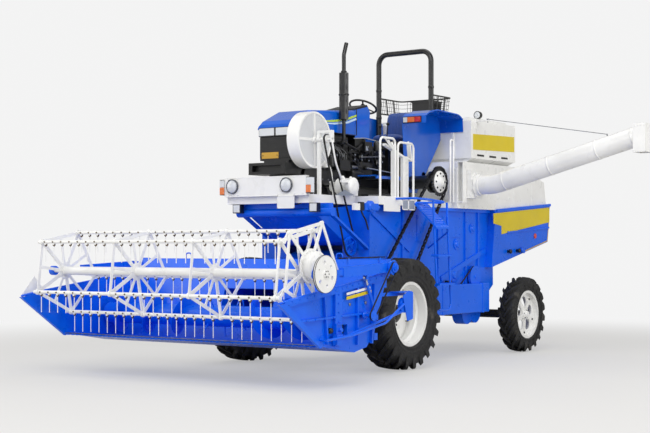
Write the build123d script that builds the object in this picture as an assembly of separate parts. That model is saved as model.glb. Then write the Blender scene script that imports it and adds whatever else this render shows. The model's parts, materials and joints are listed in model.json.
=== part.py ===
"""Tractor-mounted combine harvester, modelled as an assembly of separate pieces.

Units are millimetres.  While the pieces are built, the origin is on the ground under
the middle of the front axle: +X is the machine's left side, +Y its rear, +Z up.
At the end the whole machine is moved so that its footprint's middle is the origin.
"""
from build123d import *
from math import acos, atan2, cos, hypot, radians, sin
import os

# ---------------------------------------------------------------- overall sizes
WHEELBASE = 3650.0
FRONT_TYRE_DIAMETER = 1440.0
FRONT_TYRE_WIDTH = 430.0
FRONT_RIM_DIAMETER = 830.0
REAR_TYRE_DIAMETER = 1130.0
REAR_TYRE_WIDTH = 260.0
REAR_RIM_DIAMETER = 720.0
REAR_TRACK = 2260.0
BODY_WIDTH = 1760.0
TYRE_TO_BODY = 145.0
FRONT_TRACK = BODY_WIDTH + FRONT_TYRE_WIDTH + 2 * TYRE_TO_BODY
HEADER_WIDTH = 3900.0
DECK_HEIGHT = 2240.0
DECK_STEP = 830.0

# ---------------------------------------------------------------- general sizes
SHEET = 6.0
THICK_PLATE = 12.0
PIN_CLEARANCE = 0.3
SEAT_CLEARANCE = 0.3
RUNNING_CLEARANCE = 5.0

# ---------------------------------------------------------------- front axle, wheels
AXLE_TUBE_RADIUS = 95.0
FINAL_DRIVE_RADIUS = 70.0
HUB_SPIGOT_RADIUS = 75.0
RIM_SHEET = 12.0
FRONT_DISC_INSET = 110.0
REAR_SPINDLE_RADIUS = 32.0
REAR_DISC_INSET = 20.0
KINGPIN_X = 900.0
KINGPIN_RADIUS = 24.0
KINGPIN_BOSS_RADIUS = 55.0
KINGPIN_BOSS_HEIGHT = 170.0
REAR_BEAM_DEPTH = 120.0
STEERING_ARM = 190.0
TIE_ROD_HEIGHT = REAR_TYRE_DIAMETER / 2 - 40
TOW_BORE_RADIUS = 16.0

# ---------------------------------------------------------------- wheel drive chains
CHAIN_X = BODY_WIDTH / 2 + 70
CHAIN_WIDTH = 40.0
CHAIN_DEPTH = 36.0
TOP_SPROCKET = (1500.0, 2486.0)
TOP_SPROCKET_RADIUS = 185.0
LOW_SPROCKET_RADIUS = 320.0

# ---------------------------------------------------------------- threshing body
BODY_TOP = 2130.0
BODY_FRONT = -150.0
BODY_REAR = 3065.0
HOOD_WIDTH = 2000.0
FUEL_BOX_REACH = 125.0
FRONT_HOOD_FRONT = -900.0
FRONT_HOOD_RIGHT = -470.0
FRONT_HOOD_LEFT = 610.0
RIB_HEIGHT = 22.0
BEAM_Y = -1000.0
BEAM_Z = 2017.0
BEAM_RADIUS = 55.0

# ---------------------------------------------------------------- header and feeder
LIFT_PIVOT = (120.0, 1320.0)
FEEDER_WIDTH = 880.0
CUTTER_POINT = (-2735.0, 496.0)
PAN_BOTTOM = (-2092.0, 392.0)
TROUGH_BACK = (-1679.0, 586.0)
RAIL_REAR = (-1394.0, 1262.0)
RAIL_MIDDLE = (-2321.0, 1119.0)
DIVIDER_TIP = (-3430.0, 980.0)
BACK_WALL_TOP = 1430.0
AUGER_AXIS = (-2050.0, 735.0)
AUGER_RADIUS = 245.0
AUGER_TUBE_RADIUS = 130.0
FLIGHT_PITCH = 480.0
FLIGHT_THICKNESS = 8.0
GUARD_COUNT = 50
GUARD_LENGTH = 110.0

# ---------------------------------------------------------------- reel
REEL_AXIS = (-2920.0, 1285.0)
REEL_RADIUS = 520.0
BAT_COUNT = 5
FIRST_BAT_ANGLE = 43.0
BAT_END_GAP = 70.0
BAT_HALF_LENGTH = HEADER_WIDTH / 2 - BAT_END_GAP
BAT_RADIUS = 21.0
REEL_TUBE_RADIUS = 52.0
REEL_SHAFT_RADIUS = 25.0
OUTER_SPIDER = BAT_HALF_LENGTH - 65
SPIDER_PLACES = (-OUTER_SPIDER, -OUTER_SPIDER / 3, OUTER_SPIDER / 3, OUTER_SPIDER)
TINES_PER_BAT = 26
TINE_LENGTH = 245.0
TINE_WIDTH = 7.0
CONTROL_OFFSET = (70.0, 85.0)
CRANK_THICKNESS = 12.0
RING_THICKNESS = 12.0
ECCENTRIC_RADIUS = 160.0
ARM_PIVOT = (-1470.0, 1340.0)
ARM_THICKNESS = 60.0
ARM_DEPTH = 110.0
ARM_INNER_X = HEADER_WIDTH / 2 + 40
REEL_PULLEY_RADIUS = 203.0
REEL_PULLEY_X = ARM_INNER_X + 145

# ---------------------------------------------------------------- lift cylinders
HEADER_CYLINDER_X = 330.0
HEADER_CYLINDER_BASE = (-100.0, 500.0)
HEADER_CYLINDER_EYE = (-600.0, 840.0)
HEADER_CYLINDER_RADIUS = 42.0
HEADER_CYLINDER_BODY = 420.0
REEL_CYLINDER_X = ARM_INNER_X + 25
REEL_CYLINDER_BASE = (-1750.0, 800.0)
REEL_CYLINDER_EYE = (-1950.0, 1222.0)
REEL_CYLINDER_RADIUS = 19.0
REEL_CYLINDER_BODY = 380.0
EYE_DRIFT = 6.0

# ---------------------------------------------------------------- tractor
BONNET_WIDTH = 580.0
FENDER_INNER_X = 500.0
FENDER_OUTER_X = 880.0
LADDER_LEAN = 120.0
LADDER_RUNGS = (1065.0, 1450.0)
ROLL_BAR_HALF_WIDTH = 450.0
BOARD_SPAN = (-668.0, 643.0)
BONNET_INNER_HALF = 284.0
COWL_INNER_HALF = 254.0
ROLL_BAR_TOP = 4430.0
BASKET_REAR = 2730.0
ROLL_BAR_RADIUS = 38.0
SCREEN_CENTRE = (-830.0, 2940.0)
SCREEN_RADIUS = 360.0
SCREEN_INNER_X = 320.0
SCREEN_DEPTH = 180.0
BELT_X = 680.0
RING_PULLEY_CENTRE = (-300.0, 1590.0)
RING_PULLEY_RADIUS = 125.0

# ---------------------------------------------------------------- tank and unloader
TANK_HALF_WIDTH = 1000.0
TANK_FRONT = 2317.0
TANK_REAR = 3684.0
TANK_BOTTOM = 2860.0
TANK_TOP = 3400.0
UNLOADER_AXIS = (2252.0, 2466.0)
UNLOADER_RADIUS = 135.0
UNLOADER_END = (3600.0, 3060.0)
UNLOADER_HINGE = (1190.0, 2470.0)
FLANGE_X = 1150.0
FLANGE_RADIUS = 185.0

NODES = {}


# ================================================================ shape helpers
def block(x, y, z):
    """Box over three (low, high) spans."""
    corner = Plane(origin=(x[0], y[0], z[0]))
    return Solid.make_box(x[1] - x[0], y[1] - y[0], z[1] - z[0], corner)


def rod(start, end, radius):
    """Round bar between two points."""
    path = Vector(*end) - Vector(*start)
    return Solid.make_cylinder(radius, path.length, Plane(origin=start, z_dir=path))


def tube_x(centre, outer, inner, x):
    """Ring about an X axis through a (Y, Z) centre."""
    start, end = (x[0], *centre), (x[1], *centre)
    return rod(start, end, outer) - rod(start, end, inner)


def disc_x(centre, radius, x):
    """Disc or shaft about an X axis through a (Y, Z) centre."""
    return rod((x[0], *centre), (x[1], *centre), radius)


def bar(start, end, width, depth, across=(1, 0, 0)):
    """Flat bar between two points: width lies along the direction called across."""
    path = Vector(*end) - Vector(*start)
    plane = Plane(origin=start, x_dir=across, z_dir=path)
    return extrude(plane * Rectangle(width, depth), path.length)


def prism_x(outline, x):
    """Prism along X over (Y, Z) corners."""
    wire = Polyline(*[(x[0], y, z) for y, z in outline], close=True)
    return extrude(make_face(wire), amount=x[1] - x[0], dir=(1, 0, 0))


def prism_z(outline, z):
    """Prism along Z over (X, Y) corners."""
    wire = Polyline(*[(px, py, z[0]) for px, py in outline], close=True)
    return extrude(make_face(wire), amount=z[1] - z[0], dir=(0, 0, 1))


def prism_y(outline, y):
    """Prism along Y over (X, Z) corners."""
    wire = Polyline(*[(px, y[0], pz) for px, pz in outline], close=True)
    return extrude(make_face(wire), amount=y[1] - y[0], dir=(0, 1, 0))


def pipe(points, radius, bend):
    """Bent tube through points, every corner with the same bend radius."""
    path = FilletPolyline(*points, radius=bend)
    return sweep(Plane(origin=path @ 0, z_dir=path % 0) * Circle(radius), path=path)


def belt_loop(low, low_radius, high, high_radius, x, depth):
    """Flat loop round two pulleys."""
    return loop_fill(low, low_radius + depth, high, high_radius + depth, x) - loop_fill(
        low, low_radius, high, high_radius, x)


def loop_fill(low, low_radius, high, high_radius, x):
    """Everything inside a belt round two circles, as a prism along X."""
    reach = hypot(high[0] - low[0], high[1] - low[1])
    lean = atan2(high[1] - low[1], high[0] - low[0])
    spread = acos((low_radius - high_radius) / reach)
    sides = []
    for turn in (lean + spread, lean - spread):
        sides.append([(c[0] + r * cos(turn), c[1] + r * sin(turn))
                      for c, r in ((low, low_radius), (high, high_radius))])
    web = prism_x([sides[0][0], sides[0][1], sides[1][1], sides[1][0]], x)
    return fused(web, disc_x(low, low_radius, x), disc_x(high, high_radius, x))


def polar(centre, radius, angle):
    """(Y, Z) of a point round a centre; angle 0 is forward and 90 is up."""
    turn = radians(angle)
    return (centre[0] - radius * cos(turn), centre[1] + radius * sin(turn))


def along(start, end, share):
    """(Y, Z) of a point part of the way from start to end."""
    return (start[0] + share * (end[0] - start[0]), start[1] + share * (end[1] - start[1]))


def fused(*shapes):
    """One body out of shapes that touch or overlap."""
    total = shapes[0]
    return total.fuse(*shapes[1:]) if len(shapes) > 1 else total


def keep(name, *shapes):
    """Store a named piece made of one or more separate solids."""
    solids = []
    for shape in shapes:
        solids.extend(shape.solids())
    NODES[name] = Compound(children=[Solid(s.wrapped) for s in solids])


# ================================================================ wheels
def tyre(diameter, width, rim_diameter):
    """Carcass centred on the origin with its axle along X; the rim fills the middle."""
    tread = diameter / 2
    bead = rim_diameter / 2 + SEAT_CLEARANCE
    shoulder = tread - 0.09 * diameter
    half = width / 2
    section = Polyline(
        (-0.40 * width, 0, bead), (-half, 0, bead + 0.3 * (shoulder - bead)),
        (-half, 0, shoulder), (-0.42 * width, 0, tread - 12), (0, 0, tread),
        (0.42 * width, 0, tread - 12), (half, 0, shoulder),
        (half, 0, bead + 0.3 * (shoulder - bead)), (0.40 * width, 0, bead), close=True)
    return revolve(make_face(section), axis=Axis.X)


def rim(diameter, width, disc_x_low, bore, windows):
    """Drop-centre rim with a dished disc, hub ring and hand holes."""
    lip = diameter / 2
    seat = lip - 25
    well = lip - 60
    half = 0.40 * width
    outside = [(-half, lip), (-half + 22, lip), (-half + 22, seat), (-0.12 * width, seat),
               (-0.08 * width, well), (0.08 * width, well), (0.12 * width, seat),
               (half - 22, seat), (half - 22, lip), (half, lip)]
    inside = [(x, r - RIM_SHEET) for x, r in reversed(outside[3:7])]
    section = outside + [(half, seat - RIM_SHEET)] + inside + [(-half, seat - RIM_SHEET)]
    barrel = revolve(make_face(Polyline(*[(x, 0, r) for x, r in section], close=True)), axis=Axis.X)
    disc_high = disc_x_low + RIM_SHEET
    disc = disc_x((0, 0), seat - RIM_SHEET + 4, (disc_x_low, disc_high))
    hub = disc_x((0, 0), bore + 45, (disc_x_low, disc_high + 30))
    wheel = fused(barrel, disc, hub) - disc_x((0, 0), bore, (disc_x_low - 50, disc_high + 80))
    place = (bore + 45 + well) / 2
    for turn in range(windows):
        centre = polar((0, 0), place, 360 / windows * turn + 18)
        wheel -= disc_x(centre, 0.36 * (well - bore - 45), (disc_x_low - 50, disc_high + 50))
    return wheel


def wheel_pair(name, diameter, width, rim_diameter, disc_inset, bore, windows, x, y):
    """Left and right wheel of one axle, each a tyre and a rim."""
    disc = -disc_inset if name == "front" else disc_inset
    for side, label in ((1, "left"), (-1, "right")):
        place = Pos(side * x, y, diameter / 2)
        rubber = tyre(diameter, width, rim_diameter)
        metal = rim(rim_diameter, width, disc, bore, windows)
        if side < 0:
            metal = mirror(metal, about=Plane.YZ)
        keep(f"{name}_tyre_{label}", place * rubber)
        keep(f"{name}_rim_{label}", place * metal)


def wheels():
    wheel_pair("front", FRONT_TYRE_DIAMETER, FRONT_TYRE_WIDTH, FRONT_RIM_DIAMETER,
               FRONT_DISC_INSET, HUB_SPIGOT_RADIUS + PIN_CLEARANCE, 0, FRONT_TRACK / 2, 0)
    wheel_pair("rear", REAR_TYRE_DIAMETER, REAR_TYRE_WIDTH, REAR_RIM_DIAMETER,
               REAR_DISC_INSET, REAR_SPINDLE_RADIUS + PIN_CLEARANCE, 5, REAR_TRACK / 2, WHEELBASE)


# ================================================================ axles and steering
def front_axle():
    """Live axle: tube, final drives, hub flanges, cylinder brackets and body hangers."""
    z = FRONT_TYRE_DIAMETER / 2
    disc = FRONT_TRACK / 2 - FRONT_DISC_INSET
    tube_end = BODY_WIDTH / 2 + 25
    parts = [disc_x((0, z), AXLE_TUBE_RADIUS, (-tube_end, tube_end))]
    for side in (1, -1):
        stages = ((300, 420, 150), (tube_end - 60, tube_end, 130),
                  (tube_end, disc - 40, FINAL_DRIVE_RADIUS), (disc - 40, disc - RUNNING_CLEARANCE, 120),
                  (disc - 40, disc + 75, HUB_SPIGOT_RADIUS))
        for low, high, radius in stages:
            span = sorted((side * low, side * high))
            parts.append(disc_x((0, z), radius, span))
        for offset in (-58, 46):
            parts.append(cylinder_bracket(side * HEADER_CYLINDER_X + offset, z))
        parts.append(cylinder_pin(side * HEADER_CYLINDER_X, HEADER_CYLINDER_BASE, 58))
        parts.append(block(sorted((side * 560, side * 660)), (-70, 70), (z, z + 285)))
        parts.append(block(sorted((side * 500, side * 720)), (-60, 200), (z + 270, z + 285)))
    keep("front_axle", fused(*parts))


def cylinder_bracket(x, axle_z):
    """Ear below the axle tube that holds a lift cylinder's base pin."""
    base_y, base_z = HEADER_CYLINDER_BASE
    ear = prism_x([(-80, axle_z), (80, axle_z), (base_y + 40, base_z - 35), (base_y - 40, base_z - 35)],
                  (x, x + THICK_PLATE))
    return ear


def cylinder_pin(x, place, half_length):
    return disc_x(place, 16, (x - half_length, x + half_length))


def rear_axle():
    """Dead beam with kingpin bosses, carried by a pivot bracket, and the tow clevis behind it."""
    z = REAR_TYRE_DIAMETER / 2
    half = REAR_BEAM_DEPTH / 2
    y = (WHEELBASE - half, WHEELBASE + half)
    parts = [block((-KINGPIN_X, KINGPIN_X), y, (z - half, z + half))]
    for side in (1, -1):
        x = side * KINGPIN_X
        low, high = z - KINGPIN_BOSS_HEIGHT / 2, z + KINGPIN_BOSS_HEIGHT / 2
        parts.append(rod((x, WHEELBASE, low), (x, WHEELBASE, high), KINGPIN_BOSS_RADIUS))
    beam = fused(*parts)
    for side in (1, -1):
        x = side * KINGPIN_X
        beam -= rod((x, WHEELBASE, z - 200), (x, WHEELBASE, z + 200), KINGPIN_RADIUS + PIN_CLEARANCE)
    keep("rear_axle", fused(beam, tow_clevis(z, y[1])))


def axle_hanger():
    """Pivot bracket that joins the rear beam to the walker body."""
    z = REAR_TYRE_DIAMETER / 2
    half = REAR_BEAM_DEPTH / 2
    low, high = HOOD_OUTLINE[3], HOOD_OUTLINE[2]
    front, rear = WHEELBASE - 130, WHEELBASE + 130
    side = [(front, z + half), (rear, z + half), (rear, height_on(low, high, rear) - SEAT_CLEARANCE),
            (front, height_on(low, high, front) - SEAT_CLEARANCE)]
    hanger = [prism_x(side, (x, x + THICK_PLATE)) for x in (-180, 180 - THICK_PLATE)]
    cap = block((-190, 190), (WHEELBASE - 130, WHEELBASE + 130), (z + half, z + half + 15))
    return fused(cap, *hanger)


def tow_clevis(z, beam_back):
    """Two bored ears on a back plate, for a drawbar pin."""
    plate = block((-110, 110), (beam_back, beam_back + 15), (z - 55, z + 55))
    shape = plate
    for low in (z - 45, z + 33):
        ear = block((-45, 45), (beam_back + 10, beam_back + 130), (low, low + THICK_PLATE))
        shape = fused(shape, ear)
    bore_y = beam_back + 90
    return shape - rod((0, bore_y, z - 100), (0, bore_y, z + 100), TOW_BORE_RADIUS)


def knuckle(side):
    """C bracket on the kingpin with its wheel spindle and steering arm."""
    z = REAR_TYRE_DIAMETER / 2
    x = side * KINGPIN_X
    ear_low = KINGPIN_BOSS_HEIGHT / 2 + 1
    ear_high = ear_low + 24
    parts = [rod((x, WHEELBASE, z - ear_high), (x, WHEELBASE, z + ear_high), KINGPIN_RADIUS)]
    inner = KINGPIN_BOSS_RADIUS + 10
    for low, high in ((ear_low, ear_high), (-ear_high, -ear_low)):
        ear_x = sorted((x - side * 40, x + side * (inner + 22)))
        parts.append(block(ear_x, (WHEELBASE - 45, WHEELBASE + 45), (z + low, z + high)))
    web = sorted((x + side * inner, x + side * (inner + 22)))
    parts.append(block(web, (WHEELBASE - 60, WHEELBASE + 60), (z - ear_high, z + ear_high)))
    disc = REAR_TRACK / 2 + REAR_DISC_INSET
    parts.append(disc_x((WHEELBASE, z), 60, sorted((side * (abs(x) + inner + 22), side * (disc - 12)))))
    spindle = sorted((side * (disc - 12), side * (disc + 60)))
    parts.append(disc_x((WHEELBASE, z), REAR_SPINDLE_RADIUS, spindle))
    arm_z = (z - ear_high, z - ear_high + 16)
    arm_end = WHEELBASE - STEERING_ARM
    parts.append(block(sorted((x - side * 30, x + side * 30)), (arm_end - 28, WHEELBASE), arm_z))
    parts.append(rod((x, arm_end, arm_z[0]), (x, arm_end, TIE_ROD_HEIGHT + 22), 11))
    return fused(*parts)


def steering():
    """Both knuckles and the tie rod that keeps their arms parallel."""
    keep("steering_knuckle_left", knuckle(1))
    keep("steering_knuckle_right", knuckle(-1))
    z = TIE_ROD_HEIGHT
    y = WHEELBASE - STEERING_ARM
    tie = rod((-KINGPIN_X, y, z), (KINGPIN_X, y, z), 13)
    for side in (1, -1):
        tie = fused(tie, rod((side * KINGPIN_X, y, z - 13), (side * KINGPIN_X, y, z + 12), 26))
    for side in (1, -1):
        x = side * KINGPIN_X
        tie -= rod((x, y, z - 20), (x, y, z + 20), 11 + PIN_CLEARANCE)
    keep("tie_rod", tie)


# ================================================================ wheel drive chains
def chain_drives():
    """On each side one chain loop with its two sprockets."""
    low = (0.0, FRONT_TYRE_DIAMETER / 2)
    pieces = []
    for x in (CHAIN_X, -CHAIN_X):
        span = (x - CHAIN_WIDTH / 2, x + CHAIN_WIDTH / 2)
        pieces.append(belt_loop(low, LOW_SPROCKET_RADIUS, TOP_SPROCKET, TOP_SPROCKET_RADIUS, span,
                                CHAIN_DEPTH))
        pieces.append(disc_x(TOP_SPROCKET, TOP_SPROCKET_RADIUS - SEAT_CLEARANCE, (x - 8, x + 8)))
        wheel = disc_x(low, LOW_SPROCKET_RADIUS - SEAT_CLEARANCE, (x - 8, x + 8))
        pieces.append(wheel - disc_x(low, FINAL_DRIVE_RADIUS + PIN_CLEARANCE, (x - 30, x + 30)))
    keep("chain_drives", *pieces)


# ================================================================ threshing body
BOOT_CENTRES = ((2460, 610), (2700, 620))
BOOT_RADIUS = 150
BODY_OUTLINE = [(BODY_FRONT, BODY_TOP), (BODY_REAR, BODY_TOP), (2944, 1281), (3200, 1290),
                (3205, 1020), (3080, 930), (2860, 930), (2600, 790), (520, 790),
                (200, 1005), (BODY_FRONT, 1060)]
HOOD_OUTLINE = [(BODY_REAR + 0.4, BODY_TOP), (4885, 2262), (4800, 1664), (2944.4, 1281)]


def height_on(start, end, y):
    """Height at Y of the straight line between two (y, z) places."""
    return along(start, end, (y - start[0]) / (end[0] - start[0]))[1]


def inset(outline, wall):
    """Corners of an outline with every side moved inwards by a wall thickness."""
    loop = list(zip(outline[-1:] + outline[:-1], outline, outline[1:] + outline[:1]))
    area = sum(a[0] * b[1] - b[0] * a[1] for a, b, _ in loop)
    way = 1 if area > 0 else -1
    corners = []
    for before, here, after in loop:
        first = Vector(here[0] - before[0], here[1] - before[1]).normalized()
        second = Vector(after[0] - here[0], after[1] - here[1]).normalized()
        shift = Vector(-first.Y - second.Y, first.X + second.X) * (way * wall / (1 + first.dot(second)))
        corners.append((here[0] + shift.X, here[1] + shift.Y))
    return corners


def hollow_box(outline, x, wall):
    """Sheet-metal box along X with closed sides."""
    return prism_x(outline, x) - prism_x(inset(outline, wall), (x[0] + wall, x[1] - wall))


def body_shell():
    """Side walls, floor and roof round the threshing drum and straw walkers."""
    half = BODY_WIDTH / 2
    shell = hollow_box(BODY_OUTLINE, (-half, half), SHEET)
    throat = FEEDER_WIDTH / 2 + 15
    shell -= block((-throat, throat), (BODY_FRONT - 10, 205), (960, 1640))
    shell -= block((-half + 40, half - 40), (BODY_REAR - 140, BODY_REAR + 20), (1400, 2080))
    rails = []
    for side in (1, -1):
        outer = sorted((side * (half - 90), side * half))
        rails.append(block(outer, (420, 2900), (690, 790 + SHEET)))
        sill = sorted((side * half, side * (half + 40)))
        rails.append(block(sill, (300, BODY_REAR - 10), (2085, BODY_TOP)))
        boot_span = sorted((side * (half - 190), side * (half - 20)))
        rails.extend(disc_x(centre, BOOT_RADIUS, boot_span) for centre in BOOT_CENTRES)
        rails.extend(body_ribs(side * half, side))
    posts = [block(sorted((s * 500, s * 720)), (-60, 200), (1005, 1070)) for s in (1, -1)]
    body = fused(shell, *rails, *posts) - disc_x(LIFT_PIVOT, 30 + PIN_CLEARANCE, (-half - 5, half + 5))
    keep("body_shell", body, axle_hanger())


def body_ribs(face, side):
    """Pressed stiffeners and the long tension strut on one side wall."""
    x = sorted((face, face + side * RIB_HEIGHT))
    ribs = []
    for y_low, y_high in ((620, 660), (1560, 1600), (2330, 2370), (2700, 2740)):
        ribs.append(block(x, (y_low, y_high), (830, 2090)))
    ribs.append(bar((face + side * 12, 1650, 1130), (face + side * 12, 2930, 1529), 20, 70))
    ribs.append(bar((face + side * 12, -110, 2040), (face + side * 12, 820, 1540), 20, 70))
    return ribs


def straw_hood():
    """Open-ended hood over the straw walkers' outlet."""
    half = HOOD_WIDTH / 2
    hood = hollow_box(HOOD_OUTLINE, (-half, half), SHEET)
    hood -= block((-half + 60, half - 60), (4600, 4990), (1560, 2160))
    hood -= block((-BODY_WIDTH / 2 + 40, BODY_WIDTH / 2 - 40), (2850, BODY_REAR + 20), (1400, 2080))
    lips = []
    for side in (1, -1):
        x = side * (half + 8)
        start, end = HOOD_OUTLINE[0], HOOD_OUTLINE[1]
        lips.append(bar((x, start[0] + 20, start[1] - 8), (x, end[0], end[1] - 12), 20, 40))
        lips.append(bar((x, 3420, 1800), (x, 4830, 1890), 20, 26))
    keep("straw_hood", fused(hood, *lips))


def rear_upper_body():
    """White roof section over the walkers, from the tank funnel to the tail."""
    half = TANK_HALF_WIDTH - 20
    seam = along(HOOD_OUTLINE[0], HOOD_OUTLINE[1], 0.94)
    outline = [(1960, BODY_TOP), (BODY_REAR, BODY_TOP), (seam[0], seam[1] + SEAT_CLEARANCE), (4715, 2595),
               (4560, 2640), (3684, 2800), (2060, 2800), (1960, 2700)]
    shell = hollow_box(outline, (-half, half), SHEET)
    sill = block((-BODY_WIDTH / 2, BODY_WIDTH / 2), (1330, 1965), (BODY_TOP, BODY_TOP + 80))
    keep("rear_upper_body", fused(shell, sill))


def front_hood():
    """Sloping sheet-metal cover in front of the drum, above the feeder house."""
    back = BODY_FRONT - SEAT_CLEARANCE
    outline = [(FRONT_HOOD_FRONT, 2055), (back, 2120), (back, 1600),
               (-330, 1640), (FRONT_HOOD_FRONT, 1960)]
    hood = hollow_box(outline, (FRONT_HOOD_RIGHT, FRONT_HOOD_LEFT), SHEET)
    keep("front_hood", hood)


def front_beam():
    """Tubular cross beam under the deck with its stays down to the body."""
    left = BODY_WIDTH / 2 + 20
    right = -605
    tube = rod((right, BEAM_Y, BEAM_Z), (left, BEAM_Y, BEAM_Z), BEAM_RADIUS)
    plate = block((right + 60, left - 40), (BEAM_Y - 20, BEAM_Y + 60), (BEAM_Z + 40, BODY_TOP - 2))
    prop = block((right + 60, 600), (BEAM_Y - 20, BEAM_Y + 60), (BEAM_Z + 40, DECK_HEIGHT - SHEET))
    stays = [bar((x, BEAM_Y, BEAM_Z), (x, BODY_FRONT + 20, 1550), 60, 30) for x in (right + 50, left - 60)]
    frame = fused(tube, plate, prop, *stays)
    wall = block((-1000, 1000), (BODY_FRONT - SEAT_CLEARANCE, BODY_FRONT + 100), (1400, 1800))
    keep("front_cross_beam", frame - wall)


# ================================================================ deck, ladder, rails
def deck():
    """Operator's deck: a flanged tray that also carries the tractor."""
    step = DECK_STEP
    outline = [(-670, -1150), (640, -1150), (640, -120), (1000, -120), (1000, step),
               (880, step), (880, 1320), (-880, 1320), (-880, step), (-1000, step),
               (-1000, -120), (-670, -120)]
    low = BODY_TOP + SEAT_CLEARANCE
    tray = prism_z(outline, (low, DECK_HEIGHT))
    tray -= prism_z(inset(outline, SHEET), (low - 1, DECK_HEIGHT - SHEET))
    keep("operator_deck", tray)


def ladder():
    """Bent-tube ladder that leans back to its foot, with rungs, a sloping top tread and its grab pipe."""
    x, edge = 1300, 1000 + SEAT_CLEARANCE
    front, rear, foot = 750, 1110, 730
    rails = pipe([(x, front, 2205), (x, front + LADDER_LEAN, foot), (x, rear + LADDER_LEAN, foot),
                  (x, rear, 2180)], 15, 90)
    grab = pipe([(edge, 300, 2215), (x, 300, 2215), (x, front, 2205), (x, rear, 2180),
                 (edge - 20, DECK_STEP - 40, 2175)], 15, 40)
    grab -= block((edge - 100, edge), (DECK_STEP - 200, DECK_STEP + 100), (2100, 2250))
    rungs = []
    for z in LADDER_RUNGS:
        lean = LADDER_LEAN * (2205 - z) / (2205 - foot)
        rungs.append(block((x - 60, x + 60), (front + lean - 20, rear + lean + 20), (z, z + 26)))
    tread = prism_y([(edge, 2150), (edge, 2176), (x + 40, 1850), (x + 40, 1824)], (front + 10, rear - 10))
    stay = pipe([(x, rear, 2000), (x - 80, rear + 160, 1780), (BODY_WIDTH / 2 - 10, rear + 220, 1560)],
                13, 60)
    stay -= block((0, BODY_WIDTH / 2 + SEAT_CLEARANCE), (rear, rear + 400), (1400, 1700))
    keep("ladder", fused(rails, grab, *rungs, tread, stay))


def handrails():
    """Two inverted-U grab rails and the lever column between them."""
    z = DECK_HEIGHT
    parts = []
    for front, rear, top in ((-60, 300, 3005), (370, 760, 2965)):
        parts.append(pipe([(985, front, z), (985, front, top), (985, rear, top), (985, rear, z)], 15, 70))
    column = block((900, 960), (330, 400), (z, 2860))
    levers = [rod((930, 345 + 20 * n, 2855), (930 - 30 * n, 140 + 130 * n, 3010 - 20 * n), 12)
              for n in range(3)]
    parts.append(fused(column, *levers))
    keep("handrails", *parts)


# ================================================================ lamps and front board
def headlight_board():
    """Folded board across the deck's front edge with two lamp holes and a hanging plate."""
    y = (-1210, -1156)
    right, left = BOARD_SPAN
    board = block(BOARD_SPAN, y, (2224, 2470))
    board -= block((right + 6, left - 6), (y[0] + SHEET, y[1] + 1), (2230, 2464))
    for x in (-533, 337):
        board -= rod((x, y[0] - 10, 2357), (x, y[1] + 10, 2357), 83 + SEAT_CLEARANCE)
    plate = block((194, 458), (y[0] - SHEET, y[0]), (2066, 2228))
    bracket = block((-600, 600), (y[1], -1150), (2224, 2300))
    keep("headlight_board", fused(board, plate, bracket))
    lamps = []
    for x in (-533, 337):
        bowl = rod((x, y[0] - 14, 2357), (x, y[1] - 3, 2357), 83)
        lamps.append(bowl)
    for x in (right - 36 - SEAT_CLEARANCE, left + 36 + SEAT_CLEARANCE):
        lamps.append(block((x - 36, x + 36), (y[0] - 8, y[1] + 10), (2250, 2450)))
    for x in (-520, 700):
        lamps.append(block((x - 55, x + 55), (BEAM_Y - 150, BEAM_Y - 80), (2020, 2125)))
        lamps.append(block((x - 12, x + 12), (BEAM_Y - 80, BEAM_Y - 20.3), (2080, 2115)))
    tractor_lamps = [block(sorted((s * 20, s * 250)), (-999, -985), (3010, 3080)) for s in (1, -1)]
    keep("front_lamps", *lamps[:4], fused(*lamps[4:6]), fused(*lamps[6:8]), *tractor_lamps)


# ================================================================ tractor
def tractor_chassis():
    """Engine block, gearbox, rear axle and front weight carrier on stands."""
    z = DECK_HEIGHT
    engine = fused(block((-210, 210), (-860, 330), (2420, 3060)),
                   block((-180, 180), (320, 1320), (2400, 2960)),
                   block((-240, 240), (1300, 1790), (2330, 3010)))
    trumpets = disc_x(TOP_SPROCKET, 95, (-900, 900))
    hubs = disc_x(TOP_SPROCKET, 60, (-CHAIN_X + 8, CHAIN_X - 8))
    flanges = [disc_x(TOP_SPROCKET, 150, sorted((s * 820, s * 860))) for s in (1, -1)]
    carrier = block((-290, 290), (-1190, -850), (2500, 2650))
    carrier -= block((-230, 230), (-1200, -1130), (2535, 2615))
    stands = [block(sorted((s * 130, s * 230)), (y, y + 120), (z, 2520))
              for s in (1, -1) for y in (-700, 150)]
    rear_stands = [block(sorted((s * 300, s * 420)), (1390, 1610), (BODY_TOP + 80, 2440)) for s in (1, -1)]
    seat_stand = block((-150, 150), (1560, 1860), (2990, 3090))
    dash_half = COWL_INNER_HALF - SEAT_CLEARANCE
    dash = block((-dash_half, dash_half), (440, 700), (2900, 3200))
    keep("tractor_chassis", fused(engine, trumpets, hubs, *flanges, carrier, *stands, *rear_stands,
                                  seat_stand, dash))


COWL_OUTLINE = [(432, 3060), (432, 3437), (740, 3506), (800, 3440), (780, 3060)]


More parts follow.
